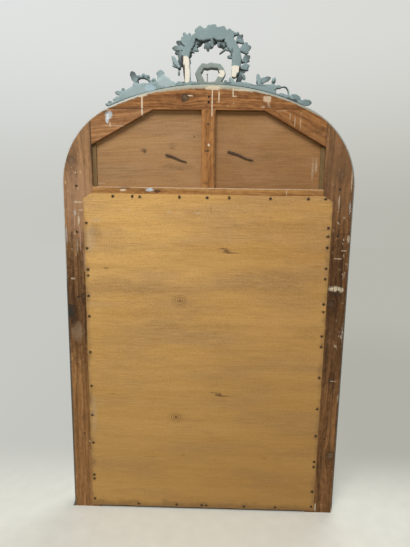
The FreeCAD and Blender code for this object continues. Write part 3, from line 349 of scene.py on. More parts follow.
def sheet_wood(name, light, middle, dark, cloud_tint, streaks):
    """Veneer or thin board with level grain, clouded with old dirt."""
    finish = Finish(name)
    drift = finish.cells((1.1, 1.1, 1.1)) * 0.08
    level = finish.node("ShaderNodeCombineXYZ", {}, {0: finish.x, 1: finish.y, 2: finish.z + drift})
    band = finish.cells((1.2, 5, 10), 2.0, level)
    figure = finish.cells((2.2, 9, 45), 3.0, level)
    streak = finish.cells((9, 30, 260), 3.0, level)
    fibre = finish.cells((60, 90, 800), 2.0)
    cloud = finish.cells((3.2, 5, 13), 4.0, level)
    dash = finish.cells((26, 60, 260), 1.0)
    hair = finish.cells((16, 60, 330), 3.0, level)
    grit = finish.cells((240, 240, 240), 2.0)
    colour = finish.mix(band.rise(0.3, 0.7), middle, light)
    colour = finish.mix(cloud.rise(0.42, 0.64) * 0.55 + 0.15, colour, cloud_tint)
    colour = finish.mix(figure.rise(0.4, 0.75) * 0.3, colour, dark)
    colour = finish.mix(streak.rise(0.4, 0.75) * streaks + fibre.rise(0.35, 0.7) * 0.1, colour, dark)
    colour = finish.mix(hair.rise(0.5, 0.7) * cloud.rise(0.35, 0.6) * 0.5 + grit.rise(0.5, 0.72) * 0.4,
                        colour, dark)
    colour = finish.mix(hair.rise(0.46, 0.3) * 0.5 + grit.rise(0.46, 0.3) * 0.4, colour, light)
    colour = finish.mix(dash.rise(0.7, 0.77) * 0.6, colour, dark)
    return finish, colour, streak * 0.4 + fibre * 0.6


def sheet_finish(finish, colour, relief, *marks):
    crumb = finish.cells((170, 170, 170), 3.0)
    fray = (crumb - 0.5) * 2.0 + (finish.cells((50, 50, 50), 2.0) - 0.5) * 2.4
    for tint, strength, *mark in marks:
        colour = finish.mix(finish.spot(fray, *mark, soft=0.9) * crumb.rise(0.2, 0.65) * strength, colour,
                            tint)
    return finish.dress(Base_Color=colour, Roughness=relief * 0.15 + 0.58, Specular_IOR_Level=0.25,
                        Normal=finish.bump(relief, 0.2, 0.0004))


DUST = rgb(0.5, 0.4, 0.28)
SOOT = rgb(0.13, 0.068, 0.028)
panel_finish, panel_colour, panel_relief = sheet_wood(
    "panel_wood", rgb(0.41, 0.226, 0.092), rgb(0.36, 0.19, 0.073), rgb(0.21, 0.102, 0.036),
    rgb(0.31, 0.187, 0.092), 0.4)
# Darker towards -x: partly the board's own tone, partly painted shade where the light falls off.
panel_colour = panel_finish.mix(panel_finish.x.rise(0.02, -0.02), panel_colour, rgb(0.85, 0.78, 0.68),
                                "MULTIPLY")
blush = panel_finish.cells((6, 6, 9), 3.0)
panel_colour = panel_finish.mix(blush.rise(0.48, 0.68) * 0.3, panel_colour, rgb(0.4, 0.225, 0.11))
panel_colour = panel_finish.mix(blush.rise(0.46, 0.32) * 0.3, panel_colour, rgb(0.24, 0.13, 0.048))
clothe(sheet_finish(panel_finish, panel_colour, panel_relief,
                    (BRUISE, 1, 192, 1197, 5, 5), (SOOT, 0.9, 196, 1201, 12, 6),
                    (SOOT, 0.4, 107, 1215, 14, 8), (SOOT, 0.45, 93, 1152, 48, 9),
                    (DUST, 0.7, -328, 1162, 3, 20), (DUST, 0.5, -318, 1150, 3, 30),
                    (BRUISE, 0.7, 42, 1242, 3.5, 3.5), (SOOT, 0.5, 106, 1206, 9, 2),
                    (DUST, 0.5, 330, 1100, 16, 3),
                    (SOOT, 0.5, 258, 1094, 14, 2.5), (SOOT, 0.55, -70, 1230, 10, 2)),
       "upper_panel")
# The laths' pine is made dark as painted shade of the recess they stand in.
clothe(worn(*pine("lath_pine", 0, rgb(0.24, 0.152, 0.064), rgb(0.14, 0.083, 0.033), rgb(0.18, 0.115, 0.049),
                  0.3)),
       "left_panel_lath", "right_panel_lath", "glass_blocks")

# Mirror plate: old silvered glass, a little foxed towards its edges, held in the rebate
# by glue blocks.
glass = Finish("old_mirror")
fox = glass.cells((60, 60, 60), 4.0)
rim = (glass.x.size() * 2.9).most(((glass.z - 0.555).size()) * 2.15)
bloom = (fox + rim * 0.32).rise(0.86, 1.02)
clothe(glass.dress(Base_Color=glass.mix(bloom, rgb(0.82, 0.84, 0.83), rgb(0.2, 0.18, 0.15)),
                   Metallic=1 - bloom * 0.6,
                   Roughness=bloom * 0.35 + 0.03), "mirror_glass")

# Back board: a sheet of thin birch plywood with clipped top corners, nailed over the
# mirror's back. Its edges are ragged, and its face is golden, streaked and smudged.
BACK_HALF, BACK_FOOT, BACK_TOP, CLIP_WIDTH, CLIP_HEIGHT = 381.0, 8.0, 1070.0, 26.0, 17.0
BACK_FRONT, BACK_FACE = 29.0, 32.5


def ragged(start, end, steps, depth, seed):
    """Points from start towards end, nibbled inwards (to the left of the way) by up to depth."""
    way = Vector(end) - Vector(start)
    inwards = Vector((-way.y, way.x)).normalized()
    points = []
    for step in range(steps):
        share = step / steps
        place = Vector(start) + way * share
        ripple = noise.noise((place.x * 0.02, place.y * 0.02, seed)) * 0.7
        ripple += noise.noise((place.x * 0.09, place.y * 0.09, seed + 7)) * 0.5
        ends = min(1.0, 6 * share, 6 * (1 - share))
        points.append(place + inwards * max(0.0, ripple) * depth * ends)
    return points


corners = [(-BACK_HALF, BACK_FOOT, 70, 4.0), (BACK_HALF, BACK_FOOT, 90, 2.2),
           (BACK_HALF, BACK_TOP - CLIP_HEIGHT, 8, 1.0), (BACK_HALF - CLIP_WIDTH, BACK_TOP, 70, 2.2),
           (-BACK_HALF + CLIP_WIDTH, BACK_TOP, 8, 1.0), (-BACK_HALF, BACK_TOP - CLIP_HEIGHT, 90, 2.2)]
rim_points = []
for index, (x, z, steps, depth) in enumerate(corners):
    rim_points += ragged((x, z), corners[(index + 1) % len(corners)][:2], steps, depth, 3.0 * index)
sheet = bmesh.new()
plies = (BACK_FRONT, BACK_FRONT + 1.1, BACK_FRONT + 2.3, BACK_FACE - 0.3, BACK_FACE)
shrink = (0.0, 0.0, 0.0, 0.0, 0.35)
loops = []
for depth, inset in zip(plies, shrink):
    loop = []
    for point in rim_points:
        middle = Vector((0.0, (BACK_FOOT + BACK_TOP) / 2))
        place = point + (middle - point).normalized() * inset
        loop.append(sheet.verts.new((place.x * MM, depth * MM, place.y * MM)))
    loops.append(loop)
for low, high in zip(loops[:-1], loops[1:]):
    for step in range(len(low)):
        after = (step + 1) % len(low)
        sheet.faces.new((low[step], low[after], high[after], high[step]))
sheet.faces.new(loops[0])
sheet.faces.new(loops[-1])
bmesh.ops.recalc_face_normals(sheet, faces=sheet.faces[:])


def make_piece(name, form, material, slot, *stands_for):
    """A new piece of the mirror from a bmesh, riding on the root and standing for its CAD pieces."""
    mesh = bpy.data.meshes.new(name)
    form.to_mesh(mesh)
    form.free()
    mesh.materials.append(material)
    piece = bpy.data.objects.new(name, mesh)
    bpy.context.scene.collection.objects.link(piece)
    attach(piece, "root")
    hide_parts(*stands_for)
    return piece


RIGHT_NAILS = (0.914, 0.84, 0.777, 0.759, 0.697, 0.634, 0.521, 0.411, 0.314, 0.22, 0.108, 0.094, 0.023)
LEFT_NAILS = (0.91, 0.885, 0.853, 0.792, 0.761, 0.684, 0.661, 0.586, 0.553, 0.454, 0.352, 0.261, 0.173,
              0.155, 0.068,
              0.015)
TOP_NAILS = (0.879, 0.8, 0.77, 0.611, 0.5, 0.412, 0.248, 0.098, 0.03)
BOTTOM_NAILS = (0.789, 0.618, 0.504, 0.484, 0.314, 0.174)
NAIL_INSET = 9.0
nail_places = [(BACK_HALF - NAIL_INSET, BACK_FOOT + share * (BACK_TOP - BACK_FOOT))
               for share in RIGHT_NAILS]
nail_places += [(NAIL_INSET - BACK_HALF, BACK_FOOT + share * (BACK_TOP - BACK_FOOT))
                for share in LEFT_NAILS]
nail_places += [((2 * share - 1) * BACK_HALF, BACK_TOP - NAIL_INSET) for share in TOP_NAILS]
nail_places += [((2 * share - 1) * BACK_HALF, BACK_FOOT + NAIL_INSET) for share in BOTTOM_NAILS]
birch_finish, birch_colour, birch_relief = sheet_wood(
    "birch_ply", rgb(0.71, 0.418, 0.134), rgb(0.62, 0.353, 0.101), rgb(0.375, 0.192, 0.048),
    rgb(0.47, 0.288, 0.134), 0.35)
# Painted shade: the plywood darkens towards its foot and towards -x, where the light falls off.
ply_foot_shade = birch_finish.z.rise(0.95, 0.05)
birch_colour = birch_finish.mix(ply_foot_shade * 0.45, birch_colour, rgb(0.4, 0.212, 0.054))
birch_colour = birch_finish.mix(birch_finish.x.rise(0.4, -0.45) * 0.9, birch_colour, rgb(0.82, 0.78, 0.74),
                                "MULTIPLY")
for x, z in ((82, 738), (93, 341)):
    across = (birch_finish.x - x * MM) * 0.75
    up = birch_finish.z - z * MM
    away = (across * across + up * up) ** 0.5 + birch_finish.cells((70, 70, 70)) * 0.006
    rings = (away * 190).fraction().rise(0.35, 0.9) * away.rise(0.03, 0.012)
    birch_colour = birch_finish.mix(rings * 0.75 + away.rise(0.008, 0.005) * 0.8, birch_colour,
                                    rgb(0.17, 0.08, 0.027))
ply_marks = [(SOOT, 0.5, -193, 1003, 4, 4), (SOOT, 1, -65, 899, 11, 5), (SOOT, 0.9, -78, 893, 24, 2.6),
             (SOOT, 0.8, -52, 906, 16, 2.4), (SOOT, 0.5, 120, 318, 5, 2), (SOOT, 1, -46, 425, 11, 5),
             (SOOT, 0.9, -62, 420, 26, 2.6), (SOOT, 0.8, -30, 431, 14, 2.2), (SOOT, 0.5, -205, 199, 9, 3),
             (SOOT, 0.9, 314, 839, 9, 3), (SOOT, 0.45, -245, 202, 22, 1.6), (BRUISE, 0.6, 303, 418, 6, 1.5),
             (DUST, 0.8, 30, 1014, 10, 2.4), (DUST, 0.8, 118, 1016, 6, 3), (DUST, 0.6, 240, 1018, 5, 3),
             (BRUISE, 0.6, -12, 1024, 1.2, 14, 4), (SOOT, 0.4, 68, 205, 7, 2),
             (SOOT, 0.4, 172, 195, 26, 1.6), (DUST, 0.35, 360, 930, 14, 40), (DUST, 0.35, 366, 340, 9, 60),
             (DUST, 0.35, 340, 990, 20, 9), (SOOT, 0.22, 240, 778, 130, 22),
             (SOOT, 0.25, -230, 975, 150, 16), (SOOT, 0.22, -200, 800, 190, 30),
             (SOOT, 0.18, 20, 650, 170, 26),
             (SOOT, 0.2, -330, 640, 50, 22), (SOOT, 0.3, 345, 950, 18, 30)]
edge_plies = (birch_finish.y / MM * 0.85).fraction().rise(0.3, 0.7)
flank = birch_finish.y.rise(32.45 * MM, 32.2 * MM)
birch_colour = birch_finish.mix(flank * edge_plies * 0.75, birch_colour, rgb(0.14, 0.075, 0.03))
grime = birch_finish.cells((26, 26, 26), 3.0) * 0.05
side_grime = (birch_finish.x.size() + grime).rise(0.39, 0.412)
foot_grime = (birch_finish.z - grime).rise(0.012, -0.012)
birch_colour = birch_finish.mix(side_grime.most(foot_grime) * 0.6, birch_colour, rgb(0.2, 0.11, 0.045))
nearest = 1.0
for x, z in nail_places:
    away = birch_finish.node("ShaderNodeVectorMath", {"operation": "DISTANCE"},
                             {0: birch_finish.place, 1: (x * MM, BACK_FACE * MM, z * MM)}, "Value")
    nearest = away.math("MINIMUM", away, nearest)
rust = (nearest + (birch_finish.cells((220, 220, 220)) - 0.5) * 0.011).rise(0.0075, 0.002)
birch_colour = birch_finish.mix(rust * 0.85, birch_colour, rgb(0.05, 0.024, 0.009))
make_piece("plywood_back", sheet, sheet_finish(birch_finish, birch_colour, birch_relief, *ply_marks),
           "plywood", "back_board")

# Wire nails and pins: driven flush through plywood, boards and laths, rusted nearly black.
# The pin inside the ribbon loop is a longer one, rusted red.


def iron(name, bright, rust, dark, roughness):
    finish = Finish(name)
    scale = finish.cells((420, 420, 420), 3.0)
    patch = finish.cells((150, 150, 150), 2.0)
    colour = finish.mix(scale.rise(0.35, 0.7), dark, rust)
    colour = finish.mix(patch.rise(0.55, 0.75) * 0.6, colour, bright)
    return finish.dress(Base_Color=colour, Metallic=scale.rise(0.7, 0.4) * 0.4,
                        Roughness=scale * 0.25 + roughness,
                        Normal=finish.bump(scale, 0.5, 0.0004))


clothe(iron("rusty_wire", rgb(0.06, 0.04, 0.028), rgb(0.035, 0.016, 0.008), rgb(0.012, 0.008, 0.006), 0.7),
       "back_board_nails", "frame_nails", "lath_pins")
clothe(iron("crest_nail", rgb(0.2, 0.09, 0.05), rgb(0.16, 0.05, 0.025), rgb(0.06, 0.03, 0.02), 0.55),
       "crest_pin")

# Painted face, plinth and feet: flat boards glued and nailed on the pine, painted a pale
# blue grey that has crazed and worn through to the ground. Behind, their rims show grey-green
# paint along the crown and painted light and shade on the flanks: pale on the +x side, grey
# on the -x side and dark low down.


def old_paint(name, coat, shade, ground, edge_wear):
    finish = Finish(name)
    broad = finish.cells((7, 7, 7), 3.0)
    brush = finish.cells((40, 40, 9), 3.0)
    crumb = finish.cells((210, 210, 210), 3.0)
    craze = finish.node("ShaderNodeTexVoronoi", {"feature": "DISTANCE_TO_EDGE"},
                        {"Vector": finish.place, "Scale": 95.0}).rise(0.035, 0.0)
    corner = finish.node("ShaderNodeNewGeometry", {}, {}, "Pointiness").rise(0.52, 0.58)
    colour = finish.mix(broad.rise(0.35, 0.68), coat, shade)
    colour = finish.mix(brush * 0.25, colour, shade)
    rubbed = (corner * edge_wear + crumb - 0.5).rise(0.24, 0.32)
    wear = rubbed.most((broad * 0.6 + crumb * 0.5).rise(0.7, 0.74) * 0.85)
    colour = finish.mix(craze * 0.35, colour, rgb(0.14, 0.12, 0.09))
    colour = finish.mix(wear, colour, ground)
    return finish, colour, crumb * 0.5 + brush * 0.3 - craze * 0.4 - wear * 0.5


face, face_colour, face_relief = old_paint(
    "grey_face", rgb(0.52, 0.56, 0.54), rgb(0.44, 0.485, 0.47), rgb(0.58, 0.53, 0.42), 0.0)
# Rear rims: grey-green paint along the crown; on the flanks, painted light (pale on +x) and painted shade
# (grey on -x, dark low down), in patches.
rear_patches = face.cells((60, 60, 22), 3.0)
behind = face.y.rise(5.5 * MM, 6.5 * MM)
painted_light_side = face.x.rise(-0.1, 0.1)
flank_light_and_shade = face.mix(painted_light_side, rgb(0.27, 0.26, 0.22), rgb(0.53, 0.52, 0.47))
crown_tint = face.mix(face.x.size().rise(0.26, 0.16), flank_light_and_shade, rgb(0.33, 0.36, 0.29))
face_colour = face.mix(behind * (rear_patches * 0.3 + 0.65), face_colour, crown_tint)
side_shade = (face.z + painted_light_side * 0.15).rise(0.98, 0.92) * (painted_light_side * 0.35 + 0.55)
face_colour = face.mix(behind * side_shade, face_colour, rgb(0.06, 0.053, 0.042))
clothe(face.dress(Base_Color=face_colour, Roughness=0.62 + face_relief * 0.15,
                  Normal=face.bump(face_relief, 0.3, 0.0005)),
       "face_left_stile", "face_right_stile", "face_bottom_rail", "face_middle_rail", "face_left_haunch",
       "face_right_haunch", "face_crown", "base_moulding", "left_foot", "right_foot")

# Mouldings: coved and rounded lengths round the outer edge, the mirror and the panel,
# mitred and glued, painted a cream grey that has crazed and worn through to the wood.
cream, cream_colour, cream_relief = old_paint(
    "cream_moulding", rgb(0.63, 0.61, 0.52), rgb(0.53, 0.51, 0.43), rgb(0.36, 0.27, 0.17), 0.0)
clothe(cream.dress(Base_Color=cream_colour, Roughness=0.58 + cream_relief * 0.15,
                   Normal=cream.bump(cream_relief, 0.3, 0.0005)),
       *[name for name in nodes if "moulding" in name and name != "base_moulding"])

# Wreath: a carved horseshoe of leaves with roses at its top, on a low base, doweled on
# the arch. Blue-grey paint over white ground, which shows where the legs have chipped.
BACK = 7.0
CROWN_CENTRE, SEAT_RADIUS = 669.08, 723.43
WREATH_X, WREATH_Z, WREATH_RADIUS = -4.0, 1455.52, 77.0
ROSE_DEPTH, LEAF_DEPTH, LEAF_TILT = 30.0, 19.0, 8.0
SETBACKS = (0.5, 3.0, 5.5)
ROSES = ((29, 1538, 16), (-6, 1540, 20), (-34, 1537, 18), (-57, 1530, 17))
WREATH_LEAVES = (
    (60, 1507, 30, 36, 15), (62, 1510, -6, 27, 13), (67, 1497, 62, 37, 18), (70, 1500, 38, 24, 15),
    (68, 1493, 87, 44, 24), (72, 1488, 103, 33, 15), (88, 1438, 34, 43, 15), (90, 1441, 52, 25, 14),
    (84, 1484, 172, 52, 15), (90, 1431, 178, 15, 8), (-62, 1527, -63, 27, 10), (-78, 1512, -42, 29, 15),
    (-78, 1516, -103, 23, 14), (-90, 1491, -75, 34, 28), (-97, 1459, -54, 29, 16), (-92, 1439, -72, 29, 15),
    (-92, 1442, -105, 26, 13), (-99, 1436, 160, 46, 28), (-100, 1423, -164, 18, 12),
    (60, 1499, -112, 31, 13), (8, 1516, -173, 30, 15), (-6, 1516, -175, 22, 13), (-25, 1516, -177, 19, 10),
    (-50, 1496, 127, 28, 6), (-59, 1499, 141, 16, 12), (-70, 1499, 158, 17, 11), (-72, 1472, 90, 21, 12),
    (64, 1489, -123, 13, 10),
    (65, 1461, -137, 14, 12), (-56, 1395, 42, 16, 12), (-72, 1397, 37, 21, 15))


def polar(x, z, radius, turn):
    """Place at a turn, in degrees from straight up towards the right."""
    return Vector((x + radius * math.sin(math.radians(turn)), 0.0,
                   z + radius * math.cos(math.radians(turn))))


def skin(form, rows):
    """Closes rings of points into one solid, capped at both ends."""
    rings = [[form.verts.new(point) for point in row] for row in rows]
    for low, high in zip(rings[:-1], rings[1:]):
        for step in range(len(low)):
            after = (step + 1) % len(low)
            form.faces.new((low[step], low[after], high[after], high[step]))
    form.faces.new(rings[0])
    form.faces.new(rings[-1])


def sweep(form, stations, profile):
    """Bar along stations (x, z, half width); its profile is in shares of that width and depths."""
    rows = []
    for index, (x, z, half) in enumerate(stations):
        before, after = stations[max(0, index - 1)], stations[min(len(stations) - 1, index + 1)]
        way = Vector((after[0] - before[0], 0, after[1] - before[1])).normalized()
        outwards = Vector((way.z, 0, -way.x))
        rows.append([Vector((x, BACK - deep, z)) + outwards * half * share for share, deep in profile])
    skin(form, rows)


def carve_leaf(form, root, turn, length, width, depth=LEAF_DEPTH, tilt=LEAF_TILT, blunt=6.0):
    """Leaf from a narrow root to a blunt tip: flat back, steep sides, domed front, grooved midrib."""
    place = Matrix.Translation(root) @ Matrix.Rotation(math.radians(turn), 4, "Y")
    place = place @ Matrix.Rotation(math.radians(tilt), 4, "X")
    rows = []
    for row in range(11):
        way = row / 10
        half = width / 2 * (0.62 + 0.38 * math.sin(math.pi / 2 * min(1, way / 0.6)))
        half *= math.sqrt(max(0.03, 1 - way ** blunt)) * (1 + 0.07 * math.cos(way * 16))
        deep = depth * (1 - 0.35 * way)
        ring = [place @ Vector(((step / 3 - 1) * half, 0.0, way * length)) for step in range(7)]
        for step in range(7):
            share = 1 - step / 3
            dome = deep * (0.6 + 0.4 * math.sqrt(1 - share ** 2)) - 2.2 * math.exp(-(share / 0.25) ** 2)
            ring.append(place @ Vector((share * half * 0.9, -dome, way * length)))
        rows.append(ring)
    skin(form, rows)


def lump(form, middle, half_x, half_y, half_z, turn=0.0):
    """Rounded lump: a squashed ball."""
    place = Matrix.Translation(middle) @ Matrix.Rotation(math.radians(turn), 4, "Y")
    place = place @ Matrix.Diagonal((half_x, half_y, half_z, 1.0))
    bmesh.ops.create_icosphere(form, subdivisions=2, radius=1.0, matrix=place)


def carve_rose(form, x, z, radius, depth):
    """Open rose: two whorls of petals round a heart, on a scalloped back."""
    lump(form, (x, BACK, z), radius * 0.9, depth * 0.6, radius * 0.9)
    for scallop in range(5):
        edge = polar(x, z, radius * 0.6, 72 * scallop + 5 * x)
        lump(form, (edge.x, BACK, edge.z), radius * 0.42, depth * 0.5, radius * 0.42)
    for count, reach, size, out in ((6, 0.55, 0.44, 0.5), (5, 0.34, 0.34, 0.7)):
        for petal in range(count):
            turn = 360 / count * (petal + out)
            place = polar(x, z, radius * reach, turn)
            place.y = BACK - depth * out
            lump(form, place, radius * size, depth * 0.22, radius * size * 0.8, turn)
    lump(form, (x, BACK - depth * 0.8, z), radius * 0.2, depth * 0.2, radius * 0.2)


def fuse(piece, voxel, rounds):
    """Melts a carving's overlapping forms into one smooth skin."""
    remesh = piece.modifiers.new("fuse", "REMESH")
    remesh.mode = "VOXEL"
    remesh.voxel_size = voxel * MM
    soften = piece.modifiers.new("soften", "SMOOTH")
    soften.factor = 0.5
    soften.iterations = rounds
    graph = bpy.context.evaluated_depsgraph_get()
    fused = bpy.data.meshes.new_from_object(piece.evaluated_get(graph))
    piece.modifiers.clear()
    material = piece.data.materials[0]
    piece.data = fused
    fused.materials.clear()
    fused.materials.append(material)
    fused.polygons.foreach_set("use_smooth", [True] * len(fused.polygons))


def carved(name, form, material, slot, node, voxel=1.3, rounds=2):
    """Flattens a carving's back against its plane, fuses it, and puts it in the node's place."""
    bmesh.ops.recalc_face_normals(form, faces=form.faces[:])
    for vert in form.verts:
        vert.co.y = min(vert.co.y, BACK)
        vert.co *= MM
    fuse(make_piece(name, form, material, slot, node), voxel, rounds)


crest, crest_colour, crest_relief = old_paint(
    "blue_crest", rgb(0.245, 0.322, 0.322), rgb(0.168, 0.232, 0.236), rgb(0.43, 0.44, 0.38), 0.4)
# Painted shade: the crest's paint is darkened in its hollows, on faces turned downwards and on backward
# faces set deep in the carving.
hollow = crest.node("ShaderNodeNewGeometry", {}, {}, "Pointiness").rise(0.5, 0.42)
facing = crest.node("ShaderNodeSeparateXYZ", {}, {0: crest.node("ShaderNodeNewGeometry", {}, {}, "Normal")},
                    "Z")
rearward = crest.node("ShaderNodeSeparateXYZ", {},
                      {0: crest.node("ShaderNodeNewGeometry", {}, {}, "Normal")}, "Y")
under = facing.rise(0.1, -0.5) * 0.8
deep_back = rearward.rise(0.2, 0.6) * crest.y.rise(2.0 * MM, -3.0 * MM) * 0.85
crest_shade = under.most(deep_back) + hollow * 0.5
crest_colour = crest.mix(crest_shade, crest_colour, rgb(0.035, 0.042, 0.042))
crumbs = crest.cells((190, 190, 190), 3.0)
crest_fray = (crumbs - 0.5) * 1.6 + (crest.cells((80, 80, 80), 2.0) - 0.5) * 1.6
rear = crest.y.rise(0.0, 4.0 * MM)
WHITE_GROUND = rgb(0.68, 0.63, 0.52)
# Dark patches painted as shade where the carving's hollows lie.
HOLLOW_SHADE = rgb(0.04, 0.055, 0.055)
SKY_BLUE = rgb(0.36, 0.5, 0.6)
for tint, strength, *mark in (
        (rgb(0.22, 0.24, 0.2), 0.6, -3, 1425, 48, 34, 4), (WHITE_GROUND, 1, 69, 1453, 9, 17, 4),
        (WHITE_GROUND, 1, 66, 1422, 8, 24, 4), (BRUISE, 0.9, 81, 1452, 4, 20, 4),
        (BRUISE, 0.9, 76, 1422, 4, 26, 4), (WHITE_GROUND, 1, -76, 1436, 12, 10, 3),
        (WHITE_GROUND, 1, -72, 1422, 8, 12, 3), (BRUISE, 0.9, -90, 1430, 3, 13, 4),
        (BRUISE, 0.8, -82, 1412, 4, 9), (WHITE_GROUND, 1, -36, 1423, 9, 10, 3),
        # The two pale blue-grey patches at x 125 and 215 are painted light on the right spray's lit blade.
        (SKY_BLUE, 0.6, 176, 1380, 16, 10), (rgb(0.36, 0.445, 0.445), 0.7, 125, 1402, 30, 18),
        (rgb(0.36, 0.45, 0.45), 0.4, 215, 1372, 46, 22, 2, 0.9), (HOLLOW_SHADE, 0.9, -249, 1350, 13, 4, 3),
        (HOLLOW_SHADE, 0.8, -236, 1355, 6, 3), (HOLLOW_SHADE, 0.8, -199, 1380, 6, 3), (HOLLOW_SHADE, 0.7, -262, 1345, 3, 7),
        (HOLLOW_SHADE, 0.75, 38, 1508, 10, 5), (HOLLOW_SHADE, 0.75, -41, 1506, 9, 5), (HOLLOW_SHADE, 0.7, -13, 1511, 4, 7),
        (HOLLOW_SHADE, 0.6, -66, 1486, 4, 8), (HOLLOW_SHADE, 0.6, 88, 1478, 3, 14), (HOLLOW_SHADE, 0.55, -95, 1470, 3, 13),
        (HOLLOW_SHADE, 0.6, -54, 1398, 12, 5), (HOLLOW_SHADE, 0.5, -150, 1392, 26, 2.5)):
    crest_colour = crest.mix(crest.spot(crest_fray, *mark) * rear * strength, crest_colour, tint)
crest_paint = crest.dress(Base_Color=crest_colour, Roughness=0.6 + crest_relief * 0.15,
                          Specular_IOR_Level=0.3,
                          Normal=crest.bump(crest_relief, 0.3, 0.0006))

wreath = bmesh.new()
ring = [(62, 1388, 9), (64, 1405, 9.5), (66, 1419, 10.5), (68, 1444, 11), (71, 1463, 11)]
for turn in range(80, -81, -4):
    hollowed = 8 * (math.exp(-((turn - 36) / 9) ** 2) + 0.8 * math.exp(-((turn + 32) / 8) ** 2)
                    + 0.5 * math.exp(-((turn + 7) / 4) ** 2))
    place = polar(WREATH_X, WREATH_Z, WREATH_RADIUS + hollowed, turn)
    ring.append((place.x, place.z, 13.5 + 4 * math.cos(math.radians(turn)) ** 2
                 + 0.9 * math.sin(turn * 0.7) - hollowed
                 - 3.5 * math.exp(-((turn - 60) / 20) ** 2)))
ring += [(-80, 1458, 14), (-79, 1445, 13.5), (-76, 1428, 11), (-72, 1414, 7)]
sweep(wreath, ring, ((-1, 1.5), (-0.8, 0), (0.8, 0), (1, 1.5), (1, 13), (0.5, 21), (-0.5, 21), (-1, 13)))
for step in range(14):
    turn = 97.5 - 15 * step
    heading = turn - 90 if turn > 0 else turn + 90
    for side in (-1, 1):
        root = polar(WREATH_X, WREATH_Z, WREATH_RADIUS + side * 4, turn) + Vector((0, BACK - 12, 0))
        carve_leaf(wreath, root, heading + side * 32, 24, 13, 10, 14)
for rose in ROSES:
    carve_rose(wreath, *rose, ROSE_DEPTH)
for x, z, half in ((46, 1506, 14), (34, 1513, 13), (-11, 1515, 10), (-34, 1510, 12), (-46, 1504, 12),
                   (-65, 1493, 8),
                   (57, 1489, 8), (60, 1477, 7), (-70, 1484, 7), (12, 1520, 10), (-22, 1519, 9)):
    lump(wreath, (x, BACK - 18, z), half, 13, half)
for index, (x, z, turn, length, width) in enumerate(WREATH_LEAVES):
    root = Vector((x, BACK - SETBACKS[index % 3], z))
    carve_leaf(wreath, root, turn, length, width * (0.62 if width > 22 else 0.85))
    if 24 < length < 40 and width > 12:
        carve_leaf(wreath, root, turn - 24 - width * 0.3, length * 0.8, width * 0.45)
        carve_leaf(wreath, root, turn + 20 + width * 0.3, length * 0.88, width * 0.45)
BASE_REACH = (-8.18, 7.55)
base = []
for step in range(27):
    turn = BASE_REACH[0] + (BASE_REACH[1] - BASE_REACH[0]) * step / 26
    top = 8.0 + 0.8 * math.sin(step * 1.3) + 0.1 * turn ** 2
    section = ((0.3, 0), (top, 0), (top, 8), (top * 0.8, 18), (top * 0.45, 24), (0.3, 26))
    base.append([polar(0, CROWN_CENTRE, SEAT_RADIUS + high, turn) + Vector((0, BACK - deep, 0))
                 for high, deep in section])
skin(wreath, base)
carved("carved_wreath", wreath, crest_paint, "crest_paint", "wreath")

# Ribbon loop: a carved knot of stiff ribbon that stands on the wreath's base, its bends
# cornered, with the ribbon dished along its middle.
bends = ((19, 1394, 9.5), (28, 1409, 9.5), (33.5, 1423, 9), (26, 1435, 8.5), (19, 1445, 8), (7, 1443, 7.5),
         (-5, 1446.5, 8), (-16, 1445, 7.5), (-28, 1444, 8), (-35, 1434, 9), (-40, 1424, 9.5),
         (-33, 1411, 9),
         (-23, 1394, 9.5))
loop = bmesh.new()
sweep(loop, bends, ((-1, 1.5), (-0.7, 0), (0.7, 0), (1, 1.5), (0.85, 11), (1, 21), (0.6, 25), (-0.6, 25),
                    (-1, 21), (-0.85, 11)))
carved("carved_loop", loop, crest_paint, "crest_paint", "ribbon_loop")

# Sprays: leafy blades that lie along the arch, out from the wreath, each with leaves and
# an arched twig with buds. Carved in one piece, doweled on the arch's edge.
SPRAY_THICKNESS = 20.0
RIGHT_EDGE = ((7.6, 11), (8.6, 18), (9.4, 30), (10.3, 38), (11.4, 28), (12.0, 25), (13.5, 24), (15.7, 30),
              (17.2, 37),
              (17.9, 29), (19.5, 26), (21.3, 18), (21.8, 10), (23.7, 7), (24.6, 5))
RIGHT_LEAVES = ((10.8, 14, 2, 42, 27), (10.7, 33, 37, 23, 14), (16.6, 38, 11, 36, 21),
                (16.4, 11, 18, 30, 19),
                (20.0, 17, 62, 31, 15), (20.4, 18, -21, 19, 13), (21.8, 5, 17, 14, 12),
                (21.9, 6, 60, 19, 9),
                (23.4, 5, 49, 17, 10), (24.2, 4, 60, 15, 9))
RIGHT_TWIG = ((16.6, 38, 4), (16.2, 45, 4), (15.4, 47, 4), (14.6, 44, 4), (13.9, 37, 4), (13.4, 26, 4.5),
              (13.0, 12, 5))
RIGHT_BUDS = ((15.8, 50, 6, 6), (14.7, 49, 7, 8), (13.8, 43, 6, 7.5), (12.7, 29, 7, 8))
LEFT_EDGE = ((8.25, 18), (8.8, 15), (9.7, 15), (10.2, 13), (12.5, 20), (15.1, 28), (15.6, 23), (15.9, 5),
             (17.3, 11),
             (18.3, 11), (18.9, 15), (19.3, 10), (21.1, 4), (22.0, 8), (23.3, 3))
LEFT_LEAVES = ((11.6, 18, -22, 31, 14), (11.1, 22, 58, 43, 17), (15.5, 24, 79, 17, 12),
               (19.5, 13, 92, 31, 20),
               (22.1, 6, 67, 34, 20))
LEFT_TWIG = ((16.4, 25, 2.2), (17.2, 31, 2), (17.8, 30, 2), (18.4, 24, 2), (18.9, 12, 2.4))
LEFT_BUDS = ((14.6, 38, 6.5, 11),)


def edge_height(edge, turn):
    """Height of the blade's edge, eased between the points of its table."""
    for (near, low), (far, high) in zip(edge[:-1], edge[1:]):
        if turn <= far:
            share = (turn - near) / (far - near)
            return low + (high - low) * share * share * (3 - 2 * share)
    return edge[-1][1]


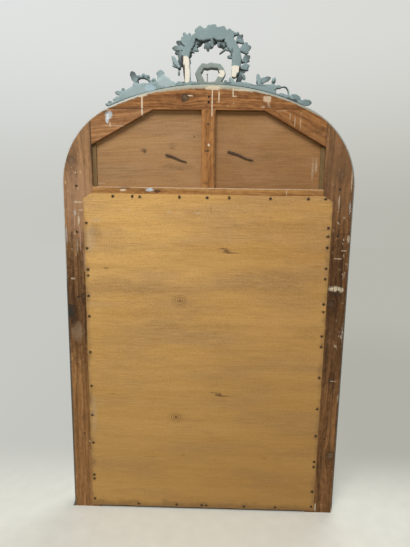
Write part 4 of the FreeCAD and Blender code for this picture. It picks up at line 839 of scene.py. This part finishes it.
def spray(name, node, side, edge, leaves, twig, buds):
    """One spray; its tables give turns along the arch, in degrees, and heights over the arch."""
    form = bmesh.new()
    rows = []
    for step in range(91):
        turn = edge[0][0] + (edge[-1][0] - edge[0][0]) * step / 90
        top = edge_height(edge, turn)
        groove = 1.5 * math.cos(turn * 4)
        ring = [polar(0, CROWN_CENTRE, SEAT_RADIUS + 0.3 + (top - 0.3) * row / 5, side * turn)
                + Vector((0, BACK - (1.2 if row == 5 else 0.0), 0)) for row in range(6)]
        for row in range(5, -1, -1):
            deep = SPRAY_THICKNESS * (1 - 0.4 * (row / 5) ** 2) + groove * math.sin(math.pi * row / 5)
            ring.append(polar(0, CROWN_CENTRE, SEAT_RADIUS + 0.3 + (top - 0.3) * row / 5 * 0.97,
                              side * turn)
                        + Vector((0, BACK - deep, 0)))
        rows.append(ring)
    skin(form, rows)
    stem = []
    for turn, height, half in twig:
        place = polar(0, CROWN_CENTRE, SEAT_RADIUS + height, side * turn)
        stem.append((place.x, place.z, half))
    sweep(form, stem, ((-1, 5), (-0.5, 2), (0.5, 2), (1, 5), (1, 11), (0.5, 15), (-0.5, 15), (-1, 11)))
    for turn, height, half_width, half_height in buds:
        place = polar(0, CROWN_CENTRE, SEAT_RADIUS + height, side * turn)
        lump(form, place + Vector((0, BACK - 8, 0)), half_width, 8.0, half_height, side * turn)
    for index, (turn, height, lean, length, width) in enumerate(leaves):
        root = polar(0, CROWN_CENTRE, SEAT_RADIUS + height, side * turn)
        root.y = BACK - SETBACKS[index % 3]
        carve_leaf(form, root, side * (turn + lean), length, width, blunt=3.6)
    carved(name, form, crest_paint, "crest_paint", node)


spray("carved_right_spray", "right_spray", 1, RIGHT_EDGE, RIGHT_LEAVES, RIGHT_TWIG, RIGHT_BUDS)
spray("carved_left_spray", "left_spray", -1, LEFT_EDGE, LEFT_LEAVES, LEFT_TWIG, LEFT_BUDS)

# Garland: two carved laurel branches from a middle rose, along the curve of the arch, held
# on the panel's front by the clinched nails.
GARLAND_RADIUS, GARLAND_REACH, GARLAND_STEP = 533.43, 18.8, 24.0
garland = bmesh.new()
stem = []
for step in range(41):
    turn = -GARLAND_REACH + 2 * GARLAND_REACH * step / 40
    stem.append([polar(0, CROWN_CENTRE, GARLAND_RADIUS + wide, turn) + Vector((0, BACK - deep, 0))
                 for wide, deep in ((-4, 0), (4, 0), (4, 4), (2, 7), (-2, 7), (-4, 4))])
skin(garland, stem)
carve_rose(garland, 0, CROWN_CENTRE + GARLAND_RADIUS, 19.0, 13.0)
for step in range(1, 8):
    turn = math.degrees(step * GARLAND_STEP / GARLAND_RADIUS)
    for side in (-1, 1):
        root = polar(0, CROWN_CENTRE, GARLAND_RADIUS, side * turn)
        root.y = BACK - 1.0
        for lean in (-40, 40):
            carve_leaf(garland, root, side * (turn + 90 + lean), 41, 15, 8, 3)
        berry = polar(0, CROWN_CENTRE, GARLAND_RADIUS, side * (turn + 0.9))
        lump(garland, berry + Vector((0, BACK - 6.5, 0)), 3.4, 3.4, 3.4)
carved("carved_garland", garland, crest_paint, "crest_paint", "garland", 1.5, 1)

# Clinched nails: two forged ones that hold the garland, driven through it and the panel
# and hammered over flat on the panel's back. Square, tapered and rusty brown.
CLINCH_TURN, PANEL_BACK, NAIL_FRONT = 252.0, 13.0, -2.0
clinched = bmesh.new()
for x, length in ((126.0, 67.0), (-62.0, 82.0)):
    z = CROWN_CENTRE + math.sqrt(GARLAND_RADIUS ** 2 - x ** 2)
    bar = []
    for step in range(9):
        place = polar(x, z, length * step / 8 - 3.0, CLINCH_TURN + 2.0 * math.sin(step * 0.8))
        bar.append((place.x, place.z, 3.3 - 2.0 * (step / 8) ** 2 - 0.25 * math.cos(step * 2.4)))
    out = PANEL_BACK - BACK
    sweep(clinched, bar, ((-1, -out), (1, -out), (1, -out - 3.4), (0.6, -out - 4.6), (-0.6, -out - 4.6),
                          (-1, -out - 3.4)))
    sweep(clinched, [(x, z - 2.4, 2.4), (x, z + 2.4, 2.4)], ((-1, -out), (1, -out), (1, 8), (-1, 8)))
    lump(clinched, (x, NAIL_FRONT, z), 5.0, 1.6, 5.0)
bmesh.ops.recalc_face_normals(clinched, faces=clinched.faces[:])
for vert in clinched.verts:
    vert.co *= MM
nail_iron = iron("forged_nail", rgb(0.16, 0.1, 0.06), rgb(0.1, 0.052, 0.026), rgb(0.05, 0.03, 0.018), 0.6)
make_piece("forged_nails", clinched, nail_iron, "forged_iron", "garland_nails")

# Floor, soft light and camera: a plain pale floor that fades into the backdrop, one soft
# lamp high behind the mirror, a weaker one before it, and the photograph's viewpoint.
REACH = 9.0
floor_mesh = bpy.data.meshes.new("floor")
floor_mesh.from_pydata([(-REACH, -REACH, 0), (REACH, -REACH, 0), (REACH, REACH, 0), (-REACH, REACH, 0)], [],
                       [(0, 1, 2, 3)])
floor = bpy.data.objects.new("floor", floor_mesh)
bpy.context.scene.collection.objects.link(floor)
ground = Finish("pale_floor")
grit = ground.cells((22, 22, 22), 4.0)
ground.dress(Base_Color=ground.mix(grit, rgb(0.75, 0.75, 0.67), rgb(0.87, 0.87, 0.78)), Roughness=0.85)
rays = [ground.node("ShaderNodeLightPath", {}, {}, ray)
        for ray in ("Is Camera Ray", "Is Glossy Ray", "Is Transmission Ray")]
seen = rays[0].most(rays[1]).most(rays[2])
away = (ground.x * ground.x + ground.y * ground.y) ** 0.5
# Backdrop colours for the far floor, darker towards -x as painted shade, with a painted shadow on the -x
# side of the mirror.
shaded_backdrop = ground.mix(ground.x.rise(1.6, -1.6), rgb(0.57, 0.575, 0.54), rgb(0.48, 0.475, 0.425))
shaded_backdrop = ground.mix(ground.x.rise(-0.2, -0.7) * away.rise(3.2, 1.4) * 0.6, shaded_backdrop, rgb(0.4, 0.395, 0.345))
glow = ground.node("ShaderNodeEmission", {}, {"Color": shaded_backdrop, "Strength": 1.0})
fade = away.rise(0.9, 1.7).most(ground.y.rise(0.05, -0.38)) * seen
lit = Channel(ground, ground.shader.outputs[0])
blend = ground.node("ShaderNodeMixShader", {}, {0: fade, 1: lit, 2: glow})
ground.feed(ground.tree.nodes["Material Output"].inputs["Surface"], blend)
floor_mesh.materials.append(ground.material)


class Sky(Finish):
    """The world: soft light, and a pale backdrop that only the camera and mirrors see."""

    def __init__(self, name):
        self.material = bpy.data.worlds.new(name)
        self.material.use_nodes = True
        bpy.context.scene.world = self.material
        self.tree = self.material.node_tree
        self.shader = self.tree.nodes["Background"]
        self.place = self.node("ShaderNodeTexCoord", {}, {}, "Generated")
        self.x, self.y, self.z = [self.node("ShaderNodeSeparateXYZ", {}, {0: self.place}, axis)
                                  for axis in "XYZ"]


sky = Sky("studio")
sky.dress(Color=rgb(1.0, 0.99, 0.97), Strength=0.32)
# The backdrop is painted darker downwards and towards -x, as painted shade of the light falling off.
low = sky.mix(sky.x.rise(0.5, -0.5), rgb(0.57, 0.575, 0.54), rgb(0.48, 0.475, 0.425))
high = sky.mix(sky.x.rise(0.5, -0.5), rgb(0.75, 0.765, 0.755), rgb(0.69, 0.695, 0.66))
backdrop = sky.node("ShaderNodeBackground", {}, {"Color": sky.mix(sky.z.rise(-0.05, 0.36), low, high)})
rays = [sky.node("ShaderNodeLightPath", {}, {}, ray)
        for ray in ("Is Camera Ray", "Is Glossy Ray", "Is Transmission Ray")]
seen = rays[0].most(rays[1]).most(rays[2])
chosen = sky.node("ShaderNodeMixShader", {}, {0: seen, 1: Channel(sky, sky.shader.outputs[0]), 2: backdrop})
sky.feed(sky.tree.nodes["World Output"].inputs["Surface"], chosen)


def lamp(name, place, target, size, power):
    light = bpy.data.lights.new(name, "AREA")
    light.size = size
    light.energy = power
    made = bpy.data.objects.new(name, light)
    made.location = place
    made.rotation_euler = (Vector(target) - Vector(place)).to_track_quat("-Z", "Y").to_euler()
    bpy.context.scene.collection.objects.link(made)


lamp("key", (0.35, 1.55, 2.85), (0, 0, 0.95), 1.0, 56)
lamp("front_fill", (-1.4, -2.6, 3.0), (0, 0, 0.9), 2.6, 46)

EYE = (-0.0229, 1.3594, 1.0523)
YAW, PITCH, ROLL = math.radians(1.14), math.radians(-9.63), math.radians(0.84)
forward = Vector((math.sin(YAW) * math.cos(PITCH), -math.cos(YAW) * math.cos(PITCH), math.sin(PITCH)))
level = forward.cross(Vector((0, 0, 1))).normalized()
rise = level.cross(forward)
right = level * math.cos(ROLL) + rise * math.sin(ROLL)
up = rise * math.cos(ROLL) - level * math.sin(ROLL)
camera_data = bpy.data.cameras.new("camera")
SENSOR, FOCAL_PIXELS, PICTURE_PIXELS = 36.0, 430.0, 547.0
camera_data.sensor_width = SENSOR
camera_data.lens = FOCAL_PIXELS / PICTURE_PIXELS * SENSOR
camera = bpy.data.objects.new("camera", camera_data)
camera.matrix_world = Matrix((right, up, -forward)).transposed().to_4x4()
camera.location = EYE
bpy.context.scene.collection.objects.link(camera)
bpy.context.scene.camera = camera
bpy.context.scene.view_settings.view_transform = "Standard"
